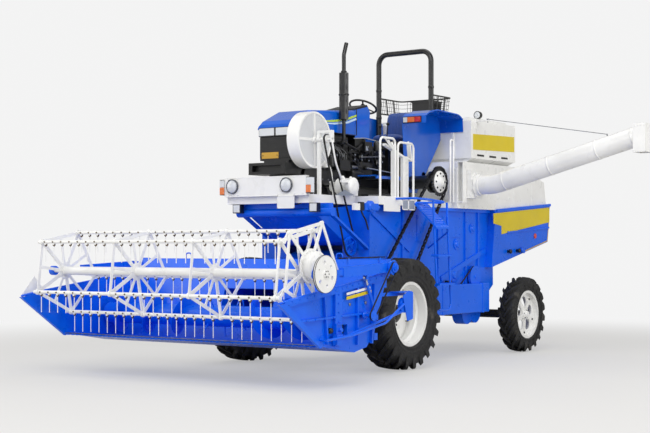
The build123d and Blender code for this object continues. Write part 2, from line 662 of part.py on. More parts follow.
def bonnet():
    """Sheet bonnet with a falling nose, and the dashboard cowl behind it."""
    outline = [(-1004, 3090), (-1004, 3150), (-940, 3205), (-605, 3352), (426, 3433), (426, 3085)]
    half = BONNET_WIDTH / 2
    shell = prism_x(outline, (-half, half))
    top = shell.edges().filter_by(lambda e: abs(e.center().X) > half - 1 and e.center().Z > 3160)
    shell = fillet(top.filter_by(lambda e: abs(e.tangent_at(0.5).X) < 0.5), 55)
    inner = prism_x([(-998, 3080), (-998, 3147), (-937, 3199), (-604, 3346), (440, 3427), (440, 3080)],
                    (-half + SHEET, half - SHEET))
    edges = inner.edges().filter_by(lambda e: abs(e.center().X) > half - 10 and e.center().Z > 3155)
    inner = fillet(edges.filter_by(lambda e: abs(e.tangent_at(0.5).X) < 0.5), 49)
    cowl = prism_x(COWL_OUTLINE, (-260, 260))
    cowl -= prism_x([(426, 3050), (426, 3431), (738, 3498), (790, 3440), (770, 3050)], (-254, 254))
    keep("tractor_bonnet", shell - inner, cowl)


def grille():
    """Nose frame with headlamp band and horizontal slats."""
    x = (-262, 262)
    frame = block(x, (-985, -870), (2690, 3085)) - block((-240, 240), (-990, -900), (2720, 3000))
    slats = [block((-245, 245), (-975, -955), (z, z + 12)) for z in range(2750, 3000, 36)]
    back = block((-242, 242), (-910, -895), (2716, 3004))
    top_half = BONNET_INNER_HALF - SEAT_CLEARANCE
    top = block((-top_half, top_half), (-985, -870), (3060, 3098))
    foot = block((-200, 200), (-985, -870), (2650, 2700))
    keep("tractor_grille", fused(frame, back, *slats, top, foot))


def fenders():
    """Sheet fenders: a tapering inner wall and a flat outer guard."""
    top = [(1262, 3300), (1262, 3400), (1330, 3440), (1560, 3500), (2180, 3478), (2290, 3420), (2306, 3240)]
    under = [(y, z) for y, z in reversed(inset(top, SHEET)[1:-1])]
    guard = top + [(2300, 3240)] + under + [(1268, 3300)]
    wall = top[:1] + top[2:] + [(2306, 3140), (1845, 2570), (1640, 2345), (1330, 2345)]
    shapes = []
    for side in (1, -1):
        outer = sorted((side * FENDER_INNER_X, side * FENDER_OUTER_X))
        inner = sorted((side * (FENDER_INNER_X - SHEET), side * FENDER_INNER_X))
        shapes.append(fused(prism_x(guard, outer), prism_x(wall, inner)))
    holes = disc_x(TOP_SPROCKET, 95 + SEAT_CLEARANCE, (-600, 600))
    keep("tractor_fenders", *[shape - holes for shape in shapes])


def roll_bar():
    """Black protective hoop on the tractor's rear axle with the guard basket behind it."""
    x, y, radius = ROLL_BAR_HALF_WIDTH, 2120, ROLL_BAR_RADIUS
    hoop = pipe([(x, y - 300, 2600), (x, y, 3000), (x, y, ROLL_BAR_TOP), (-x, y, ROLL_BAR_TOP),
                 (-x, y, 3000), (-x, y - 300, 2600)], radius, 150)
    feet = [rod((s * 225, 1700, 2600), (s * x, y - 290, 2600), 38) for s in (1, -1)]
    basket = []
    for z, reach, back in ((3790, x, BASKET_REAR), (3560, x - 27, BASKET_REAR - 30)):
        corners = [(reach, y + 10, z), (reach, back, z), (-reach, back, z), (-reach, y + 10, z)]
        basket.append(pipe(corners, 11, 90))
    stakes = [((x - 27, place), (x, place)) for place in (2320, 2520)]
    stakes.append(((172, BASKET_REAR - 30), (200, BASKET_REAR)))
    for side in (1, -1):
        for low, high in stakes:
            basket.append(rod((side * low[0], low[1], 3560), (side * high[0], high[1], 3790), 8))
    hoop = fused(hoop, *feet, *basket)
    axle = block((-240 - SEAT_CLEARANCE, 240 + SEAT_CLEARANCE), (1290, 1800), (2320, 3020))
    keep("roll_bar", hoop - axle)


def exhaust():
    """Vertical silencer with an eight-sided heat shield and a raised tail pipe."""
    x, y = 360, 20
    elbow = pipe([(210 + SEAT_CLEARANCE, y, 2960), (x, y, 2960), (x, y, 3270)], 24, 60)
    shield = extrude(Pos(x, y, 3270) * RegularPolygon(radius=63, side_count=8), 620)
    tail = pipe([(x, y, 3890), (x, y, 4130), (x, y + 60, 4290)], 27, 120)
    keep("exhaust", fused(elbow, shield, tail))


def steering_column():
    """Steering wheel with three spokes on its column."""
    hub = Plane(origin=(0, 1017, 3545), z_dir=(0, 0.42, 0.91))
    wheel = hub * Torus(190, 14)
    spokes = [hub * (Rot(0, 0, turn) * (Pos(95, 0, 0) * Box(190, 22, 8))) for turn in (90, 210, 330)]
    boss = hub * Cylinder(38, 40)
    column = rod((0, 1015, 3540), (0, 760, 3125), 24)
    column -= prism_x([(y + SEAT_CLEARANCE, z) for y, z in COWL_OUTLINE], (-260, 260))
    keep("steering_wheel", fused(wheel, boss, *spokes, column))


def operator_seat():
    """Seat cushion and backrest, each a plain soft block."""
    cushion = block((-235, 235), (1530, 1880), (3090 + SEAT_CLEARANCE, 3200))
    back = prism_x([(1880 + SEAT_CLEARANCE, 3110), (1985, 3110), (2030, 3560), (1945, 3560)], (-225, 225))
    keep("operator_seat", cushion, back)


# ================================================================ radiator screen and its drive
def radiator_screen():
    """Rotating mesh drum with ring, spokes, shaft and pulley."""
    outer_x = SCREEN_INNER_X + SCREEN_DEPTH
    band = tube_x(SCREEN_CENTRE, SCREEN_RADIUS, SCREEN_RADIUS - 5, (SCREEN_INNER_X, outer_x))
    ring = tube_x(SCREEN_CENTRE, SCREEN_RADIUS, SCREEN_RADIUS - 26, (outer_x - 8, outer_x))
    mesh = disc_x(SCREEN_CENTRE, SCREEN_RADIUS - 2, (outer_x - 14, outer_x - 10))
    spokes = []
    for angle in (0, 90, 180, 270):
        hub = (outer_x - 12, *polar(SCREEN_CENTRE, 30, angle))
        edge = (outer_x - 12, *polar(SCREEN_CENTRE, SCREEN_RADIUS - 3, angle))
        spokes.append(bar(hub, edge, 20, 34))
    hub = disc_x(SCREEN_CENTRE, 42, (outer_x - 30, outer_x + 25))
    shaft = disc_x(SCREEN_CENTRE, 18, (235, BELT_X + 70))
    pulley = disc_x(SCREEN_CENTRE, 52, (BELT_X - 22, BELT_X + 22))
    keep("radiator_screen", fused(band, ring, mesh, *spokes, hub, shaft, pulley))


def screen_mount():
    """Post, bearing, brace and gear case that carry the screen's shaft."""
    y, z = SCREEN_CENTRE
    post_x = SCREEN_INNER_X + SCREEN_DEPTH + 45
    post = block((post_x, post_x + 40), (y - 20, y + 20), (DECK_HEIGHT, z + 110))
    arm = block((post_x, BELT_X + 95), (y - 20, y + 20), (z + 80, z + 110))
    ear = block((BELT_X + 75, BELT_X + 95), (y - 30, y + 30), (z - 45, z + 110))
    x = post_x + 20
    brace = pipe([(x, y + 10, z - 80), (x, y + 260, z - 380), (x, y + 320, DECK_HEIGHT - 10)], 14, 200)
    brace -= block((x - 50, x + 50), (y, y + 500), (DECK_HEIGHT - 60, DECK_HEIGHT))
    bearing = disc_x((y, z), 42, (post_x, post_x + 40))
    mount = fused(post, arm, ear, brace, bearing)
    mount -= disc_x((y, z), 18 + PIN_CLEARANCE, (post_x - 10, BELT_X + 120))
    inner = block((240, 265), (y - 40, y + 40), (z - 200, z + 40))
    foot = block((210 + SEAT_CLEARANCE, 240), (y - 30, y + 40), (z - 200, z - 120))
    inner = fused(inner, foot) - disc_x((y, z), 18 + PIN_CLEARANCE, (230, 270))
    case = fused(disc_x((-330, 2360), 105, (600, 760)), disc_x((-330, 2360), 60, (480, 610)),
                 block((600, 760), (-420, -240), (DECK_HEIGHT, 2330)))
    keep("screen_mount", mount, inner, case)


def belt_drive():
    """Spoked ring pulley on the drum's front wall and the V-belt up to the screen."""
    y, z = RING_PULLEY_CENTRE
    x = (BELT_X - 20, BELT_X + 20)
    ring = tube_x((y, z), RING_PULLEY_RADIUS, RING_PULLEY_RADIUS - 22, x)
    hub = disc_x((y, z), 36, (BELT_X - 60, BELT_X + 25))
    reach = RING_PULLEY_RADIUS - 10
    spokes = [bar((BELT_X, *polar((y, z), 20, a)), (BELT_X, *polar((y, z), reach, a)), 14, 26)
              for a in range(0, 360, 72)]
    carrier = block((BELT_X - 60, BELT_X - 40), (y - 40, BODY_FRONT - SEAT_CLEARANCE), (z - 50, z + 30))
    belt = belt_loop((y, z), RING_PULLEY_RADIUS + 1, SCREEN_CENTRE, 54, (BELT_X - 11, BELT_X + 11), 10)
    keep("ring_pulley", fused(ring, hub, *spokes, carrier))
    keep("screen_belt", belt)


# ================================================================ tank, sump and unloader
def grain_tank():
    """Hollow tank with hopper floor, rim and raised roof panel."""
    half = TANK_HALF_WIDTH
    outline = [(TANK_FRONT, TANK_BOTTOM), (TANK_FRONT, TANK_TOP), (TANK_REAR, TANK_TOP + 20),
               (TANK_REAR, TANK_BOTTOM)]
    walls = hollow_box(outline, (-half, half), SHEET)
    mouth = ((-half + 120, half - 120), (TANK_FRONT + 120, TANK_REAR - 120))
    walls -= block(*mouth, (TANK_TOP - 60, TANK_TOP + 60))
    edge = ((-half + 100, half - 100), (TANK_FRONT + 100, TANK_REAR - 100))
    rim = hollow_frame(*edge, (TANK_TOP - 4, TANK_TOP + 55))
    funnel = tank_funnel(half)
    lamp_post = block((half - 130, half - 90), (2740, 2780), (TANK_TOP - 4, TANK_TOP + 60))
    keep("grain_tank", fused(walls, rim, funnel, lamp_post))


def hollow_frame(x, y, z):
    """Upright collar round an opening."""
    inner = block((x[0] + 22, x[1] - 22), (y[0] + 22, y[1] - 22), (z[0] - 1, z[1] + 1))
    return block(x, y, z) - inner


def tank_funnel(half):
    """Sloping skirt from the tank's sides down to the roof of the walker body."""
    base = 2800 + SEAT_CLEARANCE
    slope = [(-half + 1, TANK_BOTTOM + 2), (half - 1, TANK_BOTTOM + 2), (half - 130, base),
             (-half + 130, base)]
    outside = prism_y(slope, (TANK_FRONT + 40, TANK_REAR - 40))
    return outside - prism_y(inset(slope, SHEET), (TANK_FRONT + 46, TANK_REAR - 46))


def auger_sump():
    """Ribbed box low on the left wall with the octagonal unloading flange."""
    y, z = UNLOADER_AXIS
    wall = TANK_HALF_WIDTH - 20
    tower = block((wall, wall + 85), (1965, 2075), (BODY_TOP + 82, 2795))
    tower -= block((wall + 6, wall + 79), (1960, 2069), (BODY_TOP + 100, 2780))
    box = block((wall, FLANGE_X - 20), (y - 170, y + 170), (z - 190, z + 210))
    flange = octagon(FLANGE_X - 20, FLANGE_X, FLANGE_RADIUS)
    hinge_x, hinge_y = UNLOADER_HINGE
    ears = [block((FLANGE_X - 60, hinge_x + 20), (hinge_y - 22, hinge_y + 22), (level, level + 18))
            for level in (z - 98, z + 80)]
    ears.append(block((wall, FLANGE_X - 20), (y + 168, hinge_y + 25), (z - 98, z + 98)))
    pin = rod((hinge_x, hinge_y, z - 110), (hinge_x, hinge_y, z + 110), 13)
    sump = fused(box, flange, *ears, pin)
    sump -= disc_x((y, z), UNLOADER_RADIUS - 12, (FLANGE_X - 90, FLANGE_X + 5))
    across = (hinge_y - 22, hinge_y + 22)
    bracket = fused(block((wall + 20, hinge_x + 26), across, (TANK_TOP - 10, TANK_TOP + 4)),
                    block((wall + 20.3, wall + 32), across, (TANK_TOP - 120, TANK_TOP)))
    bracket -= rod((hinge_x, hinge_y, TANK_TOP - 40), (hinge_x, hinge_y, TANK_TOP + 40), 8 + PIN_CLEARANCE)
    keep("auger_sump", sump, bracket, tower)


def octagon(x_low, x_high, radius):
    """Eight-sided flange plate round the unloading auger."""
    corners = [polar(UNLOADER_AXIS, radius, 22.5 + 45 * n) for n in range(8)]
    return prism_x(corners, (x_low, x_high))


def unloader():
    """Unloading tube: hinged flange, raised barrel and a turned-down spout."""
    y, z = UNLOADER_AXIS
    start = FLANGE_X + RUNNING_CLEARANCE
    end = (UNLOADER_END[0], y, UNLOADER_END[1])
    hinge_x, hinge_y = UNLOADER_HINGE
    elbow = (start + 260, y, z)
    barrel = pipe([(start, y, z), elbow, end], UNLOADER_RADIUS, 500)
    bore = pipe([(start - 1, y, z), elbow, (end[0] + 8, y, end[2] + 2)], UNLOADER_RADIUS - SHEET, 500)
    flange = octagon(start, start + 14, FLANGE_RADIUS)
    collar = disc_x((y, z), UNLOADER_RADIUS + 18, (start + 14, start + 60))
    lug = block((start, hinge_x + 20), (y + 150, hinge_y + 20), (z - 74, z + 74))
    spout = block((end[0] - 60, end[0] + 110), (y - 140, y + 140), (end[2] - 230, end[2] + 150))
    spout -= block((end[0] - 54, end[0] + 104), (y - 134, y + 134), (end[2] - 240, end[2] + 144))
    tube = fused(barrel, flange, collar, lug, spout) - bore
    tube -= rod((hinge_x, hinge_y, z - 100), (hinge_x, hinge_y, z + 100), 13 + PIN_CLEARANCE)
    keep("unloader_tube", tube)
    top = TANK_TOP + 12
    share = 0.78
    hold = (elbow[0] + share * (end[0] - elbow[0]), y, z + share * (end[2] - z))
    eye = rod((hinge_x, hinge_y, TANK_TOP - 30), (hinge_x, hinge_y, top + 16), 8)
    cap = rod((hinge_x, hinge_y, top), (hinge_x, hinge_y, top + 16), 18)
    wire = rod((hinge_x, hinge_y, top + 8), (hold[0], y, hold[2] + UNLOADER_RADIUS + 30), 5)
    lean = atan2(end[2] - z, end[0] - elbow[0])
    seat = hold[2] + (UNLOADER_RADIUS + 9 * sin(lean)) / cos(lean) + SEAT_CLEARANCE
    lift = rod((hold[0], y, seat), (hold[0], y, hold[2] + UNLOADER_RADIUS + 36), 9)
    keep("unloader_stay", fused(eye, cap, wire, lift))


def fuel_box():
    """Folded tank beside the lower body with a strap bracket."""
    half = BODY_WIDTH / 2
    inner = half + RIB_HEIGHT + SEAT_CLEARANCE
    box = block((inner, half + FUEL_BOX_REACH), (1358, 2857), (632, 1051))
    box = fillet(box.edges().filter_by(Axis.Y), 14)
    straps = [block((inner, half + FUEL_BOX_REACH + 6), (y, y + 45), (626, 1057)) for y in (1500, 2650)]
    keep("fuel_box", fused(box, *straps))


# ================================================================ header
def header_frame():
    """Pan, auger trough, back wall and ribbed side panels of the cutting table."""
    half = HEADER_WIDTH / 2
    floor = [CUTTER_POINT, PAN_BOTTOM, (-1840, 440), TROUGH_BACK, (RAIL_REAR[0], BACK_WALL_TOP)]
    below = [(-2735, 488), (-2090, 384), (-1835, 432), (TROUGH_BACK[0] + 8, TROUGH_BACK[1]),
             (RAIL_REAR[0] + 8, BACK_WALL_TOP)]
    pan = prism_x(floor + below[::-1], (-half, half))
    pan -= block((-FEEDER_WIDTH / 2 + 30, FEEDER_WIDTH / 2 - 30), (-1700, -1380), (650, 1060))
    panel = [DIVIDER_TIP, CUTTER_POINT, PAN_BOTTOM, (-1835, 430), TROUGH_BACK, RAIL_REAR, RAIL_MIDDLE]
    parts = [pan]
    for side in (1, -1):
        skin = sorted((side * (half - SHEET), side * half))
        parts.append(prism_x(panel, skin))
        parts.extend(panel_ribs(side, half))
    beam_depth = (RAIL_REAR[0] + 4, RAIL_REAR[0] + 84)
    beam = block((-half + 2, half - 2), beam_depth, (BACK_WALL_TOP - 60, BACK_WALL_TOP))
    low_beam = block((-half + 2, half - 2), (-1672, -1600), (500, 580))
    parts += [beam, low_beam]
    parts += [bar((x, -1632, 560), (x, RAIL_REAR[0] + 34, BACK_WALL_TOP - 20), 50, 50)
              for x in (-1500, -1000, -500, 500, 1000, 1500)]
    parts.append(block((half - 46, half), (-1536, -1010), (1000, 1040)))
    keep("header_frame", fused(*parts, *arm_posts(), *snouts()))


def panel_ribs(side, half):
    """Top rail, edge flange and pressed ribs on the outside of one side panel."""
    x = side * (half + 17)
    width = 34
    ribs = [bar((x, *DIVIDER_TIP), (x, *RAIL_MIDDLE), width, 46),
            bar((x, *RAIL_MIDDLE), (x, *RAIL_REAR), width, 46),
            bar((x, -3130, 780), (x, -1660, 830), width, 22)]
    uprights = ((-2700, -2640, 26), (-2440, -2440, 130), (-2050, -2050, 30), (-1700, -1760, 30))
    for y_top, y_low, depth in uprights:
        z_top = height_on(RAIL_MIDDLE, RAIL_REAR, y_top)
        low = height_on(CUTTER_POINT, PAN_BOTTOM, y_low)
        low = max(low, 440)
        ribs.append(bar((x, y_top, min(z_top, 1150)), (x, y_low, low + 30), width, depth))
    return ribs


def snouts():
    """Pointed crop dividers ahead of both side panels."""
    half = HEADER_WIDTH / 2
    tip_y, tip_z = DIVIDER_TIP
    outline = [(tip_y - 95, tip_z - 10), (-2790, 470), (-2730, 500), (tip_y + 30, tip_z)]
    return [prism_x(outline, sorted((side * (half - SHEET), side * (half + 34)))) for side in (1, -1)]


def deflector_plate():
    """Sheet plate on the outside of the right divider."""
    x = -HEADER_WIDTH / 2 - 34 - SEAT_CLEARANCE
    tip_y, tip_z = DIVIDER_TIP
    plate = prism_x([(tip_y - 60, tip_z + 10), (-3280, 1223), (-3130, 1066), (-3180, 990)], (x - SHEET, x))
    keep("deflector_plate", plate)


def cutter_bar():
    """Knife back with a row of pointed guard fingers."""
    half = HEADER_WIDTH / 2 - SHEET - 4
    y, z = CUTTER_POINT
    slope = (PAN_BOTTOM[1] - z) / (PAN_BOTTOM[0] - y)
    back = block((-half, half), (y - 38, y - SEAT_CLEARANCE), (z - 14, z + 4))
    pitch = 2 * half / GUARD_COUNT
    fingers = []
    for n in range(GUARD_COUNT):
        x = -half + pitch * (n + 0.5)
        tip = (x, y - 36 - GUARD_LENGTH, z - slope * GUARD_LENGTH)
        root = [(x - 14, y - 37), (x + 14, y - 37), (x + 3, tip[1]), (x - 3, tip[1])]
        fingers.append(prism_z(root, (z - 12, z + 4)))
    keep("cutter_bar", fused(back, *fingers))


def knife_drive():
    """Crank bracket, pitman rod, knife-head box and bent guard pipe on the left side."""
    half = HEADER_WIDTH / 2
    x = half + 36
    plate = prism_x([(-1210, 1000), (-1075, 1060), (-985, 1040), (-985, 720), (-1110, 700)], (x + 60, x + 68))
    shelf = block((half - 40, x + 64), (-1300, -1000), (1040 + SEAT_CLEARANCE, 1052))
    crank = disc_x((-1150, 890), 90, (x + 10, x + 50))
    axle = disc_x((-1150, 890), 22, (x + 45, x + 62))
    box = block((half + 34 + SEAT_CLEARANCE, x + 60), (-2560, -2450), (500, 610))
    pitman = rod((x + 30, -1150, 820), (x + 30, -2452, 560), 17)
    out = x + 76
    guard = pipe([(out, -2790, 560), (out, -2300, 590), (out, -1600, 700), (x + 64, -1190, 905)], 14, 260)
    stub = rod((half + SEAT_CLEARANCE, -2775, 560), (out, -2775, 560), 12)
    drive = fused(plate, shelf, crank, axle, box, pitman, guard, stub)
    keep("header_drive", drive, header_pulley())


def header_pulley():
    """Stepped drive pulley outside the left reel arm, on the arm's pivot pin."""
    face = ARM_INNER_X + ARM_THICKNESS + RUNNING_CLEARANCE
    parts = [disc_x(ARM_PIVOT, r, (face + low, face + high))
             for r, low, high in ((78, 0, 28), (88, 28, 34), (60, 34, 56), (40, 56, 76))]
    return fused(*parts) - disc_x(ARM_PIVOT, 22 + PIN_CLEARANCE, (face - 10, face + 90))


def feeder_house():
    """Closed sheet-metal elevator from the table's back wall up to the threshing drum."""
    half = FEEDER_WIDTH / 2
    front_low = along(TROUGH_BACK, (RAIL_REAR[0], BACK_WALL_TOP), 0.05)
    front_high = along(TROUGH_BACK, (RAIL_REAR[0], BACK_WALL_TOP), 0.59)
    y, z = LIFT_PIVOT
    wall = 8 + SEAT_CLEARANCE
    outline = [(front_low[0] + wall, front_low[1]), (front_high[0] + wall, front_high[1]), (y - 60, z + 215),
               (y + 40, z + 170), (y + 60, z - 190), (y - 20, z - 215)]
    shell = hollow_box(outline, (-half, half), SHEET)
    mouth = (front_low[1] - 10, front_low[1] + 60)
    shell -= block((-half + 30, half - 30), (-1700, front_low[0] + 60), mouth)
    shell -= prism_x([(front_low[0] - 60, front_low[1] + 30), (front_high[0] - 60, front_high[1] - 30),
                      (front_high[0] + 40, front_high[1] - 30), (front_low[0] + 40, front_low[1] + 30)],
                     (-half + 30, half - 30))
    shell -= block((-half + 30, half - 30), (y + 20, y + 80), (z - 160, z + 140))
    eyes = []
    base_y, base_z = HEADER_CYLINDER_EYE
    for side in (1, -1):
        for offset in (-52, 40):
            x = side * HEADER_CYLINDER_X + offset
            eye = [(base_y - 70, base_z + 130), (base_y + 80, base_z + 150),
                   (base_y + 34, base_z - 32), (base_y - 34, base_z - 32)]
            eyes.append(prism_x(eye, (x, x + THICK_PLATE)))
        eyes.append(cylinder_pin(side * HEADER_CYLINDER_X, HEADER_CYLINDER_EYE, 52))
        eyes.append(disc_x(LIFT_PIVOT, 30, sorted((side * (half - 20), side * (BODY_WIDTH / 2 + 12)))))
    keep("feeder_house", fused(shell, *eyes))


def auger_flight(half, length):
    """Flight on the tube's left half, from its outer end towards the middle."""
    depth = AUGER_RADIUS - AUGER_TUBE_RADIUS + 4
    path = Edge.make_helix(FLIGHT_PITCH, length, AUGER_TUBE_RADIUS - 4)
    start = Plane(origin=path @ 0, x_dir=(1, 0, 0), z_dir=path % 0)
    flight = sweep(start * Pos(depth / 2, 0) * Rectangle(depth, FLIGHT_THICKNESS), path=path, is_frenet=True)
    place = Plane(origin=(half - length, *AUGER_AXIS), x_dir=(0, 1, 0), z_dir=(1, 0, 0))
    return place * flight


def table_auger():
    """Cross auger: tube, two opposite-hand flights and the middle's feeding fingers."""
    half = HEADER_WIDTH / 2 - 60
    tube = disc_x(AUGER_AXIS, AUGER_TUBE_RADIUS, (-half, half))
    reach = HEADER_WIDTH / 2 - SHEET - SEAT_CLEARANCE
    stubs = disc_x(AUGER_AXIS, 28, (-reach, reach))
    flight = auger_flight(half - 5, half - FEEDER_WIDTH / 2 + 60)
    fingers = []
    for n in range(12):
        x = -FEEDER_WIDTH / 2 + 90 + n * (FEEDER_WIDTH - 180) / 11
        root = (x, *polar(AUGER_AXIS, AUGER_TUBE_RADIUS - 4, 105 * n))
        tip = (x, *polar(AUGER_AXIS, AUGER_RADIUS - 5, 105 * n))
        fingers.append(rod(root, tip, 8))
    keep("table_auger", fused(tube, stubs, flight, mirror(flight, about=Plane.YZ), *fingers))


# ================================================================ reel
def bat_angle(n):
    return FIRST_BAT_ANGLE + 360 / BAT_COUNT * n


def spider(x):
    """Star frame: hub plates, spokes, braces and a rim of flat bars, with bat bearings."""
    corners = [polar(REEL_AXIS, REEL_RADIUS, bat_angle(n)) for n in range(BAT_COUNT)]
    middles = [along(corners[n - 1], corners[n], 0.5) for n in range(BAT_COUNT)]
    parts = [disc_x(REEL_AXIS, 105, (x - 5, x + 5))]
    for n in range(BAT_COUNT):
        parts.append(bar((x, *polar(REEL_AXIS, 60, bat_angle(n))), (x, *corners[n]), 10, 46))
        parts.append(bar((x, *corners[n - 1]), (x, *corners[n]), 8, 40))
        parts.append(bar((x, *polar(REEL_AXIS, 90, bat_angle(n) - 36)), (x, *middles[n]), 8, 34))
        parts.append(disc_x(corners[n], 36, (x - 14, x + 14)))
    frame = fused(*parts)
    for corner in corners:
        frame -= disc_x(corner, BAT_RADIUS + PIN_CLEARANCE, (x - 20, x + 20))
    return frame


def reel_frame():
    """Reel tube with four spiders, its shaft and the drive pulley at the left end."""
    tube_end = SPIDER_PLACES[-1] + 20
    parts = [disc_x(REEL_AXIS, REEL_TUBE_RADIUS, (-tube_end, tube_end))]
    shaft = (-ARM_INNER_X - ARM_THICKNESS - 20, REEL_PULLEY_X + 32)
    parts.append(disc_x(REEL_AXIS, REEL_SHAFT_RADIUS, shaft))
    parts.extend(spider(x) for x in SPIDER_PLACES)
    pulley = disc_x(REEL_AXIS, REEL_PULLEY_RADIUS, (REEL_PULLEY_X - 12, REEL_PULLEY_X + 12))
    for n in range(6):
        hole = polar(REEL_AXIS, 0.62 * REEL_PULLEY_RADIUS, 60 * n + 20)
        pulley -= disc_x(hole, 24 if n % 2 else 16, (REEL_PULLEY_X - 20, REEL_PULLEY_X + 20))
    hub = disc_x(REEL_AXIS, 48, (REEL_PULLEY_X - 22, REEL_PULLEY_X + 26))
    keep("reel_frame", fused(*parts, pulley, hub))


def reel_bat(n):
    """Bat tube with its crank, crank pin and a row of hanging tines."""
    centre = polar(REEL_AXIS, REEL_RADIUS, bat_angle(n))
    pin = (centre[0] + CONTROL_OFFSET[0], centre[1] + CONTROL_OFFSET[1])
    end = BAT_HALF_LENGTH
    tube = disc_x(centre, BAT_RADIUS, (-end, end))
    middle, plate = end - CRANK_THICKNESS / 2, (end - CRANK_THICKNESS, end)
    crank = fused(bar((middle, *centre), (middle, *pin), CRANK_THICKNESS, 34),
                  disc_x(centre, 30, plate), disc_x(pin, 22, plate),
                  disc_x(pin, 10, (end - 2, end + 6 + RING_THICKNESS + 4)))
    tines = []
    low = centre[1] - TINE_LENGTH
    for x in tine_places():
        tines.append(block((x - 13, x + 13), (centre[0] - 15, centre[0] + 15), (centre[1] - 36, centre[1])))
        tines.append(block((x - TINE_WIDTH / 2, x + TINE_WIDTH / 2),
                           (centre[0] - TINE_WIDTH / 2, centre[0] + TINE_WIDTH / 2), (low, centre[1] - 30)))
    keep(f"reel_bat_{n + 1}", fused(tube, crank, *tines))


def tine_places():
    """Tine positions along a bat, spaced between the spiders."""
    reach = SPIDER_PLACES[-1] - 60
    pitch = 2 * reach / (TINES_PER_BAT - 1)
    places = [-reach + pitch * n for n in range(TINES_PER_BAT)]
    return [x for x in places if min(abs(x - s) for s in SPIDER_PLACES) > 35]


def control_ring():
    """Eccentric star that keeps every bat's tines hanging at the same angle."""
    centre = (REEL_AXIS[0] + CONTROL_OFFSET[0], REEL_AXIS[1] + CONTROL_OFFSET[1])
    x_low = BAT_HALF_LENGTH + 6
    x = (x_low, x_low + RING_THICKNESS)
    middle = x_low + RING_THICKNESS / 2
    corners = [polar(centre, REEL_RADIUS, bat_angle(n)) for n in range(BAT_COUNT)]
    parts = [disc_x(centre, ECCENTRIC_RADIUS + 32, x)]
    for n in range(BAT_COUNT):
        parts.append(bar((middle, *polar(centre, ECCENTRIC_RADIUS + 10, bat_angle(n))), (middle, *corners[n]),
                         RING_THICKNESS, 40))
        parts.append(bar((middle, *corners[n - 1]), (middle, *corners[n]), RING_THICKNESS, 36))
        parts.append(disc_x(corners[n], 26, x))
    ring = fused(*parts) - disc_x(centre, ECCENTRIC_RADIUS + PIN_CLEARANCE, (x[0] - 5, x[1] + 5))
    for corner in corners:
        ring -= disc_x(corner, 10 + PIN_CLEARANCE, (x[0] - 5, x[1] + 5))
    keep("reel_control_ring", ring)


def reel_arms():
    """Two box-section arms with reel bearings; the left one carries the eccentric disc."""
    centre = (REEL_AXIS[0] + CONTROL_OFFSET[0], REEL_AXIS[1] + CONTROL_OFFSET[1])
    arms = []
    for side in (1, -1):
        x = sorted((side * ARM_INNER_X, side * (ARM_INNER_X + ARM_THICKNESS)))
        beam = bar((side * (ARM_INNER_X + ARM_THICKNESS / 2), *ARM_PIVOT),
                   (side * (ARM_INNER_X + ARM_THICKNESS / 2), REEL_AXIS[0] + 480, REEL_AXIS[1] + 10),
                   ARM_THICKNESS, ARM_DEPTH)
        slide = bar((side * (ARM_INNER_X + ARM_THICKNESS / 2), REEL_AXIS[0] + 520, REEL_AXIS[1] + 10),
                    (side * (ARM_INNER_X + ARM_THICKNESS / 2), REEL_AXIS[0], REEL_AXIS[1]), 44, 64)
        boss = disc_x(ARM_PIVOT, ARM_DEPTH / 2, x)
        bearing = disc_x(REEL_AXIS, 58, x)
        eyes = reel_cylinder_ears(side, REEL_CYLINDER_EYE, -16, 62)
        arm = fused(beam, slide, boss, bearing, *eyes)
        if side > 0:
            disc = disc_x(centre, ECCENTRIC_RADIUS, (BAT_HALF_LENGTH + 6, ARM_INNER_X + 1))
            arm = fused(arm, disc)
        bored = sorted((side * (ARM_INNER_X - 190), side * (ARM_INNER_X + 110)))
        arm -= disc_x(REEL_AXIS, REEL_SHAFT_RADIUS + PIN_CLEARANCE, bored)
        arm -= disc_x(ARM_PIVOT, 22 + PIN_CLEARANCE, bored)
        arms.append(arm)
    keep("reel_arms", *arms)


def reel_cylinder_ears(side, place, low, high):
    """Two small ears and a pin for one end of a reel lift cylinder."""
    ears = []
    y, z = place
    for offset in (-28, 20):
        x = side * REEL_CYLINDER_X + offset
        ears.append(block((x, x + 8), (y - 18, y + 18), (z + low, z + high)))
    ears.append(disc_x(place, 8, (side * REEL_CYLINDER_X - 28, side * REEL_CYLINDER_X + 28)))
    return ears


def arm_posts():
    """Pivot posts of the reel arms and base ears of the reel cylinders, on the side panels."""
    half = HEADER_WIDTH / 2
    y, z = REEL_CYLINDER_BASE
    parts = []
    for side in (1, -1):
        post = sorted((side * (half - 24), side * half))
        depth = (ARM_PIVOT[0] - 50, ARM_PIVOT[0] + 60)
        parts.append(block(post, depth, (RAIL_REAR[1] - 160, ARM_PIVOT[1] + 50)))
        reach = ARM_INNER_X + ARM_THICKNESS + (90 if side > 0 else 10)
        pin = sorted((side * (half - 20), side * reach))
        parts.append(disc_x(ARM_PIVOT, 22, pin))
        base = sorted((side * (half - 2), side * (REEL_CYLINDER_X + 28)))
        parts.append(block(base, (y - 18, y + 18), (z - 60, z - 30)))
        parts.extend(reel_cylinder_ears(side, REEL_CYLINDER_BASE, -32, 16))
    return parts


